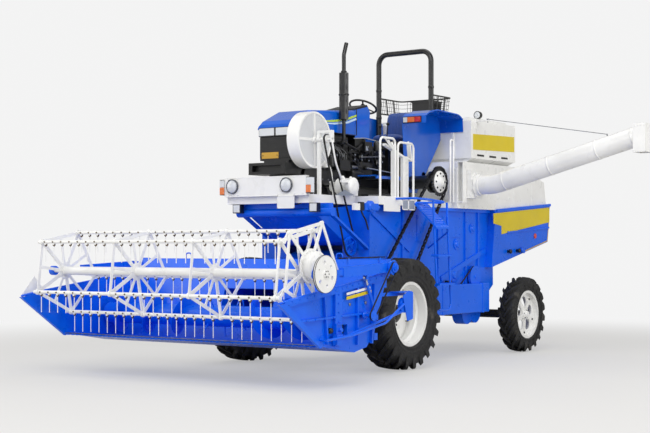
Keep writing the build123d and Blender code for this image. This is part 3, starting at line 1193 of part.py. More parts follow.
# ================================================================ lift cylinders
def cylinder_pair(name, x, base, eye, radius, body, rod_radius, pin_radius, eye_width, rod_start):
    """Barrels and rods of a left and right cylinder between a base pin and a rod-eye pin."""
    run = Vector(0, eye[0] - base[0], eye[1] - base[1])
    step = run.normalized()
    barrels, rods = [], []
    for side in (1, -1):
        start = Vector(side * x, *base)
        end = Vector(side * x, *eye)
        half_eye = eye_width / 2
        knuckle_eye = disc_x(base, pin_radius + 16, (start.X - half_eye, start.X + half_eye))
        case = rod(start + step * (pin_radius + 6), start + step * body, radius)
        bore = rod(start + step * (pin_radius + 40), start + step * (body + 1), rod_radius + PIN_CLEARANCE)
        barrel = fused(knuckle_eye, case) - bore
        barrels.append(barrel - disc_x(base, pin_radius + PIN_CLEARANCE, (start.X - 60, start.X + 60)))
        rod_eye = disc_x(eye, pin_radius + 16 + EYE_DRIFT, (end.X - half_eye, end.X + half_eye))
        shaft = rod(start + step * rod_start, end - step * (pin_radius + 4 + EYE_DRIFT), rod_radius)
        piece = fused(rod_eye, shaft) - disc_x(eye, pin_radius + EYE_DRIFT, (end.X - 60, end.X + 60))
        rods.append(piece)
    keep(f"{name}_cylinder_barrels", *barrels)
    keep(f"{name}_cylinder_rods", *rods)


def lift_cylinders():
    cylinder_pair("header", HEADER_CYLINDER_X, HEADER_CYLINDER_BASE, HEADER_CYLINDER_EYE,
                  HEADER_CYLINDER_RADIUS, HEADER_CYLINDER_BODY, 24, 16, 60, 175)
    cylinder_pair("reel", REEL_CYLINDER_X, REEL_CYLINDER_BASE, REEL_CYLINDER_EYE,
                  REEL_CYLINDER_RADIUS, REEL_CYLINDER_BODY, 13, 8, 28, 70)


# ================================================================ the whole machine
def build():
    steps = (wheels, front_axle, rear_axle, steering, chain_drives, body_shell, straw_hood,
             rear_upper_body, front_hood, front_beam, deck, ladder, handrails, headlight_board,
             tractor_chassis, bonnet, grille, fenders, roll_bar, exhaust, steering_column,
             operator_seat, radiator_screen, screen_mount, belt_drive, grain_tank, auger_sump,
             unloader, fuel_box, header_frame, deflector_plate, cutter_bar, knife_drive,
             feeder_house, table_auger, reel_frame, control_ring, reel_arms,
             lift_cylinders)
    for step in steps:
        step()
    for n in range(BAT_COUNT):
        reel_bat(n)


def export():
    """Move the machine over the origin and write one file per piece."""
    os.makedirs("parts", exist_ok=True)
    spans = [shape.bounding_box() for shape in NODES.values()]
    x = (min(s.min.X for s in spans) + max(s.max.X for s in spans)) / 2
    y = (min(s.min.Y for s in spans) + max(s.max.Y for s in spans)) / 2
    for name, shape in NODES.items():
        export_step(Pos(-x, -y, 0) * shape, f"parts/{name}.step")


build()
export()
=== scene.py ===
# Looks of the tractor-mounted combine harvester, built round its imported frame.
# Places are in metres.  A "machine" place is measured from the ground under the front
# axle's middle, +X left, +Y rear, +Z up; at() moves it to the frame's own origin.
import json
from itertools import product
from math import acos, atan2, cos, exp, hypot, pi, radians, sin

import bpy
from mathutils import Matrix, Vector

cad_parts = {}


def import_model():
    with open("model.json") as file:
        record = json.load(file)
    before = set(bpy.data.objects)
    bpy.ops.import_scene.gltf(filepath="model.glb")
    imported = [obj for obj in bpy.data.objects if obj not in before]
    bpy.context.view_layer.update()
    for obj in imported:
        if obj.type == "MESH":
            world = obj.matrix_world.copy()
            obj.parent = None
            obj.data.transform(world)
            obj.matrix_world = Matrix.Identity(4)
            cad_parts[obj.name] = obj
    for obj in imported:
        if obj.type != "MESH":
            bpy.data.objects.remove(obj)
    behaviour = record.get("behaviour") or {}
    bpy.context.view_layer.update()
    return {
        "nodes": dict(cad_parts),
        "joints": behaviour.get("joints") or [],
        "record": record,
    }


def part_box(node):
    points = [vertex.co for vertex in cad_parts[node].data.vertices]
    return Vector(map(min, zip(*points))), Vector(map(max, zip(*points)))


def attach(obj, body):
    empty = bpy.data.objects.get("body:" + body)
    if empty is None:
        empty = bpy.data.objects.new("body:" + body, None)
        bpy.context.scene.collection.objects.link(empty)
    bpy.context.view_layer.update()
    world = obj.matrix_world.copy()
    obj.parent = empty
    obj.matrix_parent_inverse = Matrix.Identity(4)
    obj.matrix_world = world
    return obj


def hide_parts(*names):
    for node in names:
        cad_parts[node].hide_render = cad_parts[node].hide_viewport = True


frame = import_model()

NODES = frame["nodes"]
JOINT = {j["name"]: Vector(j["pos_m"]) for j in frame["joints"] if "pos_m" in j}
LEFT_WHEEL = JOINT["front_wheel_left_spin"]
ORIGIN = Vector((JOINT["header_lift"].x, LEFT_WHEEL.y, 0.0))
X, Y, Z = Vector((1, 0, 0)), Vector((0, 1, 0)), Vector((0, 0, 1))
SIDES = (1, -1)
WHEEL_SIDES = (("left", 1), ("right", -1))


def at(x, y, z):
    """A machine place in the frame."""
    return ORIGIN + Vector((x, y, z))


def series(first, step, count):
    """Evenly spaced values."""
    return [first + step * n for n in range(count)]


# ---------------------------------------------------------------- mesh building
BOX_FACES = [[0, 2, 3, 1], [4, 5, 7, 6], [0, 1, 5, 4], [2, 6, 7, 3], [0, 4, 6, 2], [1, 3, 7, 5]]


class Shape:
    """Points and faces gathered for one piece, each face with a material number."""

    def __init__(self):
        self.points, self.faces, self.slots, self.round = [], [], [], []

    def add(self, points, faces, slot=0, smooth=False):
        """Take in points, and faces that count from the first of them."""
        base = len(self.points)
        self.points.extend(Vector(p) for p in points)
        for face in faces:
            self.faces.append([base + i for i in face])
            self.slots.append(slot)
            self.round.append(smooth)

    def box(self, x, y, z, slot=0):
        """Box over machine spans, whose two ends may come in either order."""
        corners = [at(a, b, c) for c in sorted(z) for b in sorted(y) for a in sorted(x)]
        self.add(corners, BOX_FACES, slot)

    def beam(self, start, end, width, depth, across=X, slot=0):
        """Rectangular bar between two frame places."""
        run = (end - start).normalized()
        side = (across - run * across.dot(run)).normalized() * width / 2
        up = run.cross(side).normalized() * depth / 2
        corners = [p + a * side + b * up for p in (start, end) for b in (-1, 1) for a in (-1, 1)]
        self.add(corners, BOX_FACES, slot)

    def rod(self, start, end, radius, sides=12, slot=0):
        """Round bar between two frame places."""
        self.lathe(start, end - start, [(0, radius), ((end - start).length, radius)], sides, slot)

    def lathe(self, start, axis, profile, sides=24, slot=0, capped=True):
        """Turned form: profile lists (distance along the axis, radius)."""
        axis = axis.normalized()
        side = axis.orthogonal().normalized()
        up = axis.cross(side)
        rings = [circle(start + axis * along, side, up, radius, sides) for along, radius in profile]
        self.skin(rings, slot, capped)

    def skin(self, rings, slot=0, capped=True, smooth=True):
        """Quads between rings of equal length."""
        count = len(rings[0])
        faces = []
        for start in range(0, (len(rings) - 1) * count, count):
            for n in range(count):
                here, after = start + n, start + (n + 1) % count
                faces.append([here, after, after + count, here + count])
        self.add([p for ring in rings for p in ring], faces, slot, smooth)
        if capped:
            first = [n - len(rings) * count for n in reversed(range(count))]
            self.add([], [first, list(range(-count, 0))], slot)

    def tube(self, route, radius, sides=10, slot=0, bend=0.0):
        """Round tube along machine places, its corners rounded when bend is set."""
        path = rounded([at(*place) for place in route], bend)
        runs = [(b - a).normalized() for a, b in zip(path, path[1:])]
        side = runs[0].orthogonal().normalized()
        rings = []
        for n, place in enumerate(path):
            run = (runs[max(n - 1, 0)] + runs[min(n, len(runs) - 1)]).normalized()
            side = (side - run * side.dot(run)).normalized()
            rings.append(circle(place, side, run.cross(side), radius, sides))
        self.skin(rings, slot)

    def prism(self, outline, axis, span, slot=0):
        """Plate or bar with a machine outline, thick along axis 0, 1 or 2 (X, Y or Z)."""
        points = [at(*p[:axis], depth, *p[axis:]) for depth in sorted(span) for p in outline]
        count = len(outline)
        faces = [[n, (n + 1) % count, count + (n + 1) % count, count + n] for n in range(count)]
        faces += [list(reversed(range(count))), list(range(count, 2 * count))]
        self.add(points, faces, slot)

    def bolt(self, place, axis, size=0.008, slot=0):
        """Hexagon head with a washer, standing on a surface."""
        self.lathe(place, axis, [(-0.002, size * 1.25), (0.002, size * 1.25)], 12, slot)
        head = [(0.002, size), (0.002 + size * 0.6, size), (0.002 + size * 0.7, size * 0.8)]
        self.lathe(place, axis, head, 6, slot)

    def bolt_ring(self, centre, radius, count, first, axis, size=0.008, slot=0):
        """Bolts round a centre in the Y-Z plane, the first one at the given angle."""
        for angle in series(first, 360 / count, count):
            self.bolt(polar(centre, radius, angle), axis, size, slot)

    def bolt_grid(self, x, y, z, axis, size=0.008, slot=0):
        """Bolts at every crossing of machine values."""
        for place in product(x, y, z):
            self.bolt(at(*place), axis, size, slot)


def circle(centre, side, up, radius, count):
    """Places round a centre in the plane of two directions."""
    turns = series(0, 2 * pi / count, count)
    return [centre + (side * cos(turn) + up * sin(turn)) * radius for turn in turns]


def rounded(route, bend, steps=6):
    """The route with each corner replaced by a curve that starts bend before it."""
    if not bend:
        return route
    path = [route[0]]
    for before, here, after in zip(route, route[1:], route[2:]):
        reach = min(bend, (here - before).length * 0.49, (after - here).length * 0.49)
        first = here + (before - here).normalized() * reach
        last = here + (after - here).normalized() * reach
        for t in series(0, 1 / steps, steps + 1):
            path.append(first.lerp(here, t).lerp(here.lerp(last, t), t))
    return path + [route[-1]]


def polar(centre, radius, angle):
    """Frame place round a centre in the Y-Z plane; angle 0 is forward and 90 is up."""
    turn = radians(angle)
    return centre + radius * (sin(turn) * Z - cos(turn) * Y)


def placed(name, data):
    """New object in the scene."""
    obj = bpy.data.objects.new(name, data)
    bpy.context.scene.collection.objects.link(obj)
    return obj


def piece(name, shape, body, materials, bevel=0.0):
    """Make one object of a shape and let it ride on a body."""
    mesh = bpy.data.meshes.new(name)
    mesh.from_pydata(shape.points, [], shape.faces)
    mesh.polygons.foreach_set("material_index", shape.slots)
    mesh.polygons.foreach_set("use_smooth", shape.round)
    mesh.update()
    obj = placed(name, mesh)
    for finish in materials:
        mesh.materials.append(finish)
    if bevel:
        edge = obj.modifiers.new("edge", "BEVEL")
        edge.width, edge.segments, edge.limit_method = bevel, 2, "ANGLE"
    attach(obj, body)
    return obj


def fitting(materials, body="chassis", bevel=0.0):
    """Turn a function that fills a shape into one that makes the piece it is named after."""
    def marked(fill):
        def make():
            shape = Shape()
            fill(shape)
            piece(fill.__name__, shape, body, materials, bevel)
        return make
    return marked


# ---------------------------------------------------------------- materials
def linear(colour, factor=1.0):
    """Shader colour from the 0-255 values that a screen shows, times a factor."""
    channels = [v / 255 for v in colour]
    channels = [v / 12.92 if v <= 0.04045 else ((v + 0.055) / 1.055) ** 2.4 for v in channels]
    return *(min(1.0, v * factor) for v in channels), 1.0


# Thin dust on paint and dried dirt on rubber.
DUST_COLOUR = (168, 160, 148)
DIRT_COLOUR = (92, 87, 80)


class Nodes:
    """Short way to wire a material or the world."""

    def __init__(self, block):
        block.use_nodes = True
        self.block, self.tree = block, block.node_tree
        self.shader = self.tree.nodes.get("Principled BSDF")
        if self.shader:
            self.place = self.new("TexCoord").outputs["Object"]

    def feed(self, target, value):
        """Set an input, or link it when the value is another node's output."""
        if isinstance(value, bpy.types.NodeSocket):
            self.tree.links.new(value, target)
        else:
            target.default_value = value

    def new(self, kind, feeds=None, **settings):
        """Node with its settings; feeds says what goes into its inputs."""
        node = self.tree.nodes.new("ShaderNode" + kind)
        for key, value in settings.items():
            setattr(node, key, value)
        for key, value in (feeds or {}).items():
            self.feed(node.inputs[key], value)
        return node

    def noise(self, scale, detail, stretch=None):
        """Cloudy pattern over the piece."""
        place = self.place
        if stretch:
            place = self.new("Mapping", {"Vector": place, "Scale": stretch}).outputs["Vector"]
        return self.new("TexNoise", {"Vector": place, "Scale": scale, "Detail": detail}).outputs["Fac"]

    def ramp(self, source, *stops):
        """Colours or grey values at places along a pattern."""
        node = self.new("ValToRGB", {"Fac": source})
        elements = node.color_ramp.elements
        for n, (place, value) in enumerate(stops):
            element = elements[n] if n < 2 else elements.new(place)
            element.position = place
            element.color = value if isinstance(value, tuple) else (value, value, value, 1.0)
        return node.outputs["Color"]

    def math(self, operation, *values):
        """Result of a sum, product or other operation on values or outputs."""
        return self.new("Math", dict(enumerate(values)), operation=operation).outputs[0]

    def mix(self, factor, first, second):
        """Blend of two colours; inputs 6 and 7 and output 2 are the node's colour sockets."""
        return self.new("Mix", {0: factor, 6: first, 7: second}, data_type="RGBA").outputs[2]

    def bump(self, height, strength, distance):
        """Fine relief from a pattern."""
        node = self.new("Bump", {"Height": height, "Strength": strength, "Distance": distance})
        self.set(Normal=node.outputs["Normal"])

    def set(self, **values):
        """Feed inputs of the main shader, named with _ for a space."""
        for key, value in values.items():
            self.feed(self.shader.inputs[key.replace("_", " ")], value)

    def surface(self, output, factor, first, second):
        """Mix two shaders into the output node."""
        mixed = self.new("MixShader", {0: factor, 1: first.outputs[0], 2: second.outputs[0]})
        self.feed(self.tree.nodes[output].inputs["Surface"], mixed.outputs[0])


def material(name):
    """Nodes of a new material."""
    return Nodes(bpy.data.materials.new(name))


def paint(name, colour, rough=0.3, coat=0.5, dust=0.1, specular=0.5):
    """Sprayed enamel: faint colour drift, uneven gloss, orange peel and thin dust."""
    n = material(name)
    drift = n.ramp(n.noise(2.3, 5), (0.3, linear(colour, 0.93)), (0.7, linear(colour, 1.05)))
    film = n.ramp(n.noise(9, 8), (0.52, 0), (0.78, dust))
    n.set(Base_Color=n.mix(film, drift, linear(DUST_COLOUR)),
          Roughness=n.ramp(n.noise(6, 6), (0.3, rough - 0.06), (0.75, rough + 0.12)),
          Coat_Weight=coat, Coat_Roughness=0.12, Specular_IOR_Level=specular)
    n.bump(n.noise(260, 2), 0.05, 0.001)
    return n.block


def rubber(name, colour, rough=0.75):
    """Tyre rubber: grey film on black, with fine grain."""
    n = material(name)
    stops = (0.38, linear(colour)), (0.6, linear(colour, 1.7)), (0.82, linear(DIRT_COLOUR))
    n.set(Base_Color=n.ramp(n.noise(5, 8), *stops),
          Roughness=n.ramp(n.noise(30, 4), (0.3, rough - 0.15), (0.7, rough + 0.1)))
    n.bump(n.noise(420, 3), 0.25, 0.0015)
    return n.block


def metal(name, colour, rough=0.35, worn=0.5):
    """Bare or plated steel with streaks and dull patches."""
    n = material(name)
    n.set(Base_Color=n.ramp(n.noise(14, 8), (0.35, linear(colour, worn)), (0.65, linear(colour))),
          Roughness=n.ramp(n.noise(40, 5, (1, 6, 1)), (0.3, rough), (0.75, rough + 0.25)), Metallic=1.0)
    n.bump(n.noise(300, 3), 0.08, 0.001)
    return n.block


def plastic(name, colour, rough=0.4):
    """Moulded plastic with a slight grain."""
    n = material(name)
    n.set(Base_Color=n.ramp(n.noise(20, 3), (0.3, linear(colour, 0.9)), (0.7, linear(colour, 1.05))),
          Roughness=n.ramp(n.noise(60, 2), (0.3, rough), (0.7, rough + 0.08)))
    n.bump(n.noise(500, 2), 0.05, 0.0005)
    return n.block


def lens(name, colour):
    """Ribbed lamp glass over a bright bowl."""
    n = material(name)
    wave = n.new("TexWave", {"Scale": 38.0, "Vector": n.place}, wave_type="BANDS", bands_direction="X")
    ribs = wave.outputs["Fac"]
    n.set(Base_Color=n.ramp(ribs, (0.2, linear(colour, 0.72)), (0.8, linear(colour))),
          Roughness=n.ramp(n.noise(30, 2), (0.3, 0.06), (0.7, 0.14)), Coat_Weight=1.0, Coat_Roughness=0.03)
    n.bump(ribs, 0.3, 0.002)
    return n.block


def cloth(name, colour):
    """Coated seat cloth with a woven grain."""
    n = material(name)
    weave = n.new("TexVoronoi", {"Scale": 260.0, "Vector": n.place})
    n.set(Base_Color=n.ramp(n.noise(7, 6), (0.3, linear(colour, 0.8)), (0.7, linear(colour, 1.15))),
          Roughness=n.ramp(n.noise(30, 3), (0.3, 0.55), (0.7, 0.75)), Sheen_Weight=0.25)
    n.bump(weave.outputs["Distance"], 0.3, 0.001)
    return n.block


def wire_screen():
    """Fine perforated sheet: a grid of dark holes in grey metal."""
    n = material("wire_screen")
    along = n.new("SeparateXYZ", {"Vector": n.place}).outputs
    waves = [n.math("ABSOLUTE", n.math("SINE", n.math("MULTIPLY", along[k], 330.0))) for k in "YZ"]
    hole = n.math("LESS_THAN", n.math("MINIMUM", *waves), 0.55)
    n.set(Base_Color=n.mix(hole, linear((150, 152, 156)), linear((236, 238, 240))),
          Roughness=n.ramp(n.noise(30, 3), (0.3, 0.4), (0.7, 0.55)))
    n.bump(hole, 0.5, 0.001)
    return n.block


BLUE = paint("header_blue", (0, 99, 236), 0.3, 0.2, 0.02, 0.35)
TRACTOR_BLUE = paint("bonnet_blue", (0, 92, 204), 0.18, 0.5, 0.01, 0.4)
WHITE = paint("body_white", (240, 240, 238), 0.3, 0.3, 0.04)
BLACK = paint("satin_black", (10, 11, 13), 0.34, 0.25, 0.02)
GREY = paint("plate_grey", (150, 158, 172), 0.4, 0.2, 0.05)
RING = paint("lamp_ring", (84, 88, 96), 0.3, 0.4, 0.04)
PLATE_YELLOW = paint("plate_yellow", (204, 158, 48), 0.35, 0.3, 0.06)
BOARD_YELLOW = paint("board_yellow", (220, 196, 16), 0.35, 0.3, 0.03)
GOLD = paint("gold_line", (206, 166, 62), 0.35, 0.3)
LIME = paint("stripe_lime", (188, 214, 66), 0.3, 0.5, 0.02)
SKY = paint("stripe_sky", (196, 222, 244), 0.3, 0.5, 0.02)
TYRE = rubber("tyre_rubber", (22, 22, 23))
BELT = rubber("belt_rubber", (22, 22, 24), 0.6)
CHAIN = metal("chain_steel", (70, 70, 74), 0.4, 0.4)
STEEL = metal("worn_steel", (168, 170, 174), 0.32, 0.55)
CHROME = metal("rod_chrome", (214, 216, 220), 0.12, 0.85)
CLIP = paint("tine_clip", (96, 74, 40), 0.45, 0.2)
LAMP = lens("lamp_glass", (226, 230, 234))
AMBER = lens("amber_glass", (238, 118, 24))
RED = lens("red_glass", (206, 26, 30))
PLASTIC = plastic("black_plastic", (24, 24, 26), 0.45)
SEAT = cloth("seat_cloth", (28, 66, 140))
SCREEN = wire_screen()

FINISH = {
    "blue_paint": BLUE, "tractor_blue": TRACTOR_BLUE, "white_paint": WHITE, "black_paint": BLACK,
    "tyre": TYRE, "chain_steel": CHAIN, "belt_rubber": BELT, "lamp_lens": LAMP, "seat_cover": SEAT,
    "rod_steel": CHROME, "knife_steel": STEEL}
# Nodes whose look differs from their record slot's.
OWN_FINISH = {"cutter_bar": BLUE}


def finish_cad_nodes():
    """Give every carried-over CAD node the procedural finish of its record slot."""
    for part in frame["record"]["subparts"]:
        mesh = NODES[part["node"]].data
        mesh.materials.clear()
        mesh.materials.append(OWN_FINISH.get(part["node"], FINISH[part["material_slot"]]))


# ---------------------------------------------------------------- wheels
def carcass_radius(share, tread, shoulder):
    """Radius of the tyre's surface part of the way from its middle (0) to its side (1)."""
    return tread - (tread - shoulder) * share ** 3


def tyre_shape(centre, radius, rim, width, lugs, lug_height, sweep):
    """Farm tyre: smooth carcass with slanted lugs that run down the shoulders."""
    shape = Shape()
    half = width / 2
    base = radius - lug_height
    shoulder = base - 0.045 * radius
    wall = [(-0.8, rim), (-0.92, rim + 0.016), (-0.965, rim + 0.02), (-0.965, rim + 0.03),
            (-0.945, rim + 0.034), (-0.975, rim + 0.07), (-0.995, rim + 0.073), (-0.995, rim + 0.082),
            (-0.982, rim + 0.086), (-1.0, (rim + shoulder) / 2), (-0.96, shoulder - 0.03)]
    section = wall + [(k / 6, carcass_radius(abs(k) / 6, base, shoulder)) for k in range(-5, 6)]
    section += [(-x, r) for x, r in reversed(wall)]
    shape.skin([circle(centre + x * half * X, -Y, Z, r, 96) for x, r in section], 0, False)
    for side in SIDES:
        first = 0.5 if side < 0 else 0
        for start in series(360 / lugs * first, 360 / lugs, lugs):
            lug(shape, centre, side * half, start, (base, shoulder, radius), sweep, 360 / lugs)
    return shape


def lug(shape, centre, half, start, radii, sweep, pitch):
    """One lug from the tyre's middle to half way down its side; half is below 0 on the right."""
    base, shoulder, top = radii
    rings = []
    for share, drop in ((-0.06, 0), (0.15, 0), (0.4, 0), (0.65, 0), (0.86, 0), (1.0, 0.02), (1.01, 0.075)):
        ground = carcass_radius(max(share, 0), base, shoulder) - 0.012 - drop
        crown = top - 0.014 * max(share, 0) ** 2 - drop * 1.05
        spread = pitch * (0.17 + 0.1 * share)
        angle = start + sweep * min(share, 1.0)
        corners = (ground, -1), (crown, -0.62), (crown, 0.62), (ground, 1)
        rings.append([polar(centre + half * share * X, r, angle + turn * spread) for r, turn in corners])
    shape.skin(rings, 0, True, False)


def middle_and_radius(node):
    """Centre and outer radius of a wheel part that turns about X."""
    low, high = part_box(node)
    return (low + high) / 2, (high.z - low.z) / 2


def wheels():
    """Lugged tyres and the fittings on the rims."""
    for end, lugs, height, sweep in (("front", 23, 0.046, 17), ("rear", 19, 0.044, 19)):
        for side, _ in WHEEL_SIDES:
            node = f"{end}_tyre_{side}"
            low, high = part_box(node)
            centre, radius = middle_and_radius(node)
            rim = middle_and_radius(f"{end}_rim_{side}")[1] + 0.001
            shape = tyre_shape(centre, radius, rim, high.x - low.x, lugs, height, sweep)
            tyre = piece(f"{node}_tread", shape, f"{end}_wheel_{side}", [TYRE])
            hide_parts(node)
    front_hubs()
    rear_hubs()


def front_hubs():
    """Black hub deep in each front rim, with two rings of bolts and the valve stem."""
    inward_step = 0.068
    for side, sign in WHEEL_SIDES:
        centre = middle_and_radius(f"front_rim_{side}")[0]
        centre.x = ORIGIN.x + sign * (LEFT_WHEEL.x - ORIGIN.x - inward_step)
        shape = Shape()
        out = sign * X
        profile = [(-0.03, 0.12), (0.012, 0.118), (0.03, 0.1), (0.034, 0.085), (0.05, 0.08), (0.062, 0.05)]
        shape.lathe(centre, out, profile, 32)
        shape.bolt_ring(centre - 0.03 * out, 0.165, 8, 20, out, 0.016, 1)
        shape.bolt_ring(centre - 0.042 * out, 0.235, 10, 0, out, 0.012, 1)
        stem = polar(centre - 0.04 * out, 0.325, 200), polar(centre + 0.02 * out, 0.318, 200)
        shape.rod(*stem, 0.006, 8, 1)
        piece(f"front_hub_{side}", shape, f"front_wheel_{side}", [BLACK, CHAIN])


def rear_hubs():
    """Hub, spoke castings and bolts of each rear wheel."""
    for side, sign in WHEEL_SIDES:
        centre, radius = middle_and_radius(f"rear_rim_{side}")
        out = sign * X
        centre += 0.022 * out
        shape = Shape()
        shape.lathe(centre, out, [(0, 0.075), (0.05, 0.07), (0.062, 0.052), (0.085, 0.045), (0.09, 0.03)], 28)
        for angle in series(54, 72, 5):
            inner = polar(centre + 0.016 * out, 0.06, angle)
            shape.beam(inner, polar(centre + 0.004 * out, radius - 0.07, angle), 0.03, 0.075)
            shape.bolt(polar(centre + 0.02 * out, radius - 0.085, angle), out, 0.014, 1)
            shape.bolt(polar(centre + 0.052 * out, 0.058, angle + 36), out, 0.009, 1)
        piece(f"rear_hub_{side}", shape, f"rear_wheel_{side}", [WHITE, CHAIN], 0.003)


# ---------------------------------------------------------------- chains
def loop_path(low, low_radius, high, high_radius, pitch, x):
    """Evenly spaced places on a loop round two circles, in the Y-Z plane at a frame x."""
    reach = hypot(high.y - low.y, high.z - low.z)
    lean = atan2(high.z - low.z, high.y - low.y)
    spread = acos((low_radius - high_radius) / reach)
    straight = reach * sin(spread)
    under, over = lean - spread, lean + spread

    def edge(centre, radius, angle):
        return Vector((x, centre.y + radius * cos(angle), centre.z + radius * sin(angle)))

    def run(first, first_radius, last, last_radius, angle, share):
        return edge(first, first_radius, angle).lerp(edge(last, last_radius, angle), share)

    legs = ((low_radius * 2 * (pi - spread), lambda way: edge(low, low_radius, over + way / low_radius)),
            (straight, lambda way: run(low, low_radius, high, high_radius, under, way / straight)),
            (high_radius * 2 * spread, lambda way: edge(high, high_radius, under + way / high_radius)),
            (straight, lambda way: run(high, high_radius, low, low_radius, over, way / straight)))
    total = sum(length for length, _ in legs)
    count = 2 * round(total / pitch / 2)
    places = []
    for way in series(0, total / count, count):
        for length, leg in legs:
            if way <= length:
                break
            way -= length
        places.append(leg(way))
    return places


def belt(shape, places, width, depth, slot=0, share=1.0):
    """Flat links along a closed loop, each reaching its share of the way to the next place."""
    for here, after in zip(places, places[1:] + places[:1]):
        shape.beam(here, here.lerp(after, share), width, depth, X, slot)


def roller_chain(shape, places, width, plate):
    """Rollers and pairs of link plates along a closed loop."""
    for n, (here, after) in enumerate(zip(places, places[1:] + places[:1])):
        shape.lathe(here - width / 2 * X, X, [(0, plate * 0.32), (width, plate * 0.32)], 8)
        gap = width / 2 if n % 2 else width / 2 - 0.005
        for shift in (gap * X, -gap * X):
            shape.beam(here + shift, after + shift, 0.004, plate)
            shape.lathe(here + shift - 0.0025 * X, X, [(0, plate / 2), (0.005, plate / 2)], 8)


def sprocket(shape, centre, radius, teeth, thickness, slot):
    """Toothed disc about an X axis."""
    rings = []
    for x in (-thickness / 2, thickness / 2):
        ring = []
        for n in range(teeth * 4):
            reach = radius + (0.012 if n % 4 in (1, 2) else -0.008)
            ring.append(polar(centre + x * X, reach, 90 * (n + 0.5) / teeth))
        rings.append(ring)
    shape.skin(rings, slot, True, False)


def drive_chains():
    """Both wheel drive chains with their sprockets, standing for the CAD loops."""
    shape = Shape()
    cap = [(0, 0.155), (0.014, 0.15), (0.016, 0.07), (0.045, 0.06), (0.05, 0.03)]
    low_radius, high_radius, pitch, root = 0.338, 0.203, 0.0508, 0.012
    for side in SIDES:
        high = at(side * 0.95, 1.5, 2.486)
        low = Vector((high.x, LEFT_WHEEL.y, LEFT_WHEEL.z))
        roller_chain(shape, loop_path(low, low_radius, high, high_radius, pitch, high.x), 0.034, 0.032)
        sprocket(shape, low, low_radius - root, 42, 0.014, 1)
        sprocket(shape, high, high_radius - root, 25, 0.014, 1)
        out = side * X
        shape.lathe(high + 0.006 * out, out, cap, 32, 2)
        shape.bolt_ring(high + 0.02 * out, 0.115, 8, 0, out, 0.012)
        shape.bolt_ring(low + 0.009 * out, 0.2, 6, 0, out, 0.014)
    drive = piece("drive_chain_links", shape, "chassis", [CHAIN, BLACK, WHITE])
    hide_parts("chain_drives")


# ---------------------------------------------------------------- header
# Half width of the table, Y and Z of the cutter bar, X of the reel's spiders.
HEADER_HALF = 1.95
CUTTER = (-2.735, 0.496)
SPIDERS = (-1.815, -0.605, 0.605, 1.815)


@fitting([STEEL], "header")
def knife_sections(shape):
    """Knife sections between the guards, and a bolt on every second guard."""
    y, z = CUTTER
    back, tip = y - 0.045, y - 0.118
    reach = HEADER_HALF - 0.02
    count = 48
    step = 2 * reach / count
    for n, x in enumerate(series(step / 2 - reach, step, count)):
        outline = [(x - step * 0.48, back), (x + step * 0.48, back), (x + 0.006, tip), (x - 0.006, tip)]
        shape.prism(outline, 2, (z + 0.0045, z + 0.0075))
        if n % 2:
            shape.bolt(at(x, y - 0.02, z + 0.004), Z)
    shape.box((-reach, reach), (y - 0.044, y - 0.012), (z + 0.004, z + 0.009))


@fitting([BLUE], "header")
def header_bolts(shape):
    """Bolt rows on the side panels' ribs and on the back wall."""
    for side in SIDES:
        x = side * (HEADER_HALF + 0.034)
        for y, z, end_y, end_z, count in ((-3.3, 1.0, -2.36, 1.112, 8), (-2.28, 1.126, -1.44, 1.255, 8),
                                          (-2.44, 0.55, -2.44, 1.05, 6), (-3.05, 0.784, -1.7, 0.829, 9)):
            for share in series(0, 1 / (count - 1), count):
                shape.bolt(at(x, y, z).lerp(at(x, end_y, end_z), share), side * X, 0.01)
    shape.bolt_grid(series(-1.8, 0.2, 19), [-1.39], [1.4], -Y, 0.01)


@fitting([BELT, BLUE], "header")
def knife_drive_belt(shape):
    """V-belt from the stepped pulley down to the knife drive, with its lower pulley."""
    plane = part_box("header_drive")[1].x - 0.031
    y, z = -1.93, 0.8
    low = at(plane - ORIGIN.x, y, z)
    belt(shape, loop_path(low, 0.055, JOINT["reel_lift"], 0.062, 0.03, plane), 0.015, 0.01)
    shape.lathe(low, X, [(-0.014, 0.06), (-0.008, 0.05), (0.008, 0.05), (0.014, 0.06)], 28, 1)
    shape.rod(at(HEADER_HALF, y, z), low + 0.02 * X, 0.017, 14, 1)
    shape.lathe(at(HEADER_HALF + 0.034, y, z), X, [(0, 0.05), (0.02, 0.045), (0.03, 0.025)], 20, 1)


@fitting([BLUE, BLACK, STEEL], "header")
def knife_drive_box(shape):
    """Open bracket at the foot of the side panel's channel, with a black plate inside it as painted shade in
    its recess.
    """
    near, far = HEADER_HALF + 0.001, HEADER_HALF + 0.055
    # Black plate flat on the panel inside the bracket: painted shade of the recess.
    shape.box((near, near + 0.004), (-2.5, -2.31), (0.61, 0.715), 1)
    shape.box((near, far), (-2.515, -2.505), (0.595, 0.725))
    shape.box((near, far), (-2.305, -2.295), (0.595, 0.725))
    shape.box((near, far), (-2.505, -2.305), (0.716, 0.725))
    shape.rod(at(near, -2.42, 0.655), at(far + 0.01, -2.42, 0.655), 0.022, 16)
    shape.lathe(at(near, -2.6, 0.655), X, [(0, 0.035), (0.05, 0.03), (0.055, 0.015)], 18, 1)
    for y, z in ((-1.86, 0.94), (-2.18, 0.93)):
        shape.lathe(at(near, y, z), X, [(0, 0.02), (0.008, 0.018), (0.01, 0.008)], 14, 2)


@fitting([CHAIN, BLUE], "reel_arms")
def reel_drive_chain(shape):
    """Roller chain that runs along the top of the left reel arm, on two small guides."""
    front, rear = at(2.012, -2.46, 1.452), at(2.012, -1.54, 1.462)
    count = 2 * round((rear - front).length / 0.032)
    for n in range(count):
        start = front.lerp(rear, n / count)
        shape.beam(start, front.lerp(rear, (n + 1) / count), 0.01 if n % 2 else 0.018, 0.014)
        shape.rod(start - 0.012 * X, start + 0.012 * X, 0.006, 8)
    for y, z in ((-2.3, 1.4), (-1.66, 1.41)):
        shape.box((2.0, 2.024), (y - 0.012, y + 0.012), (z - 0.02, z + 0.05), 1)


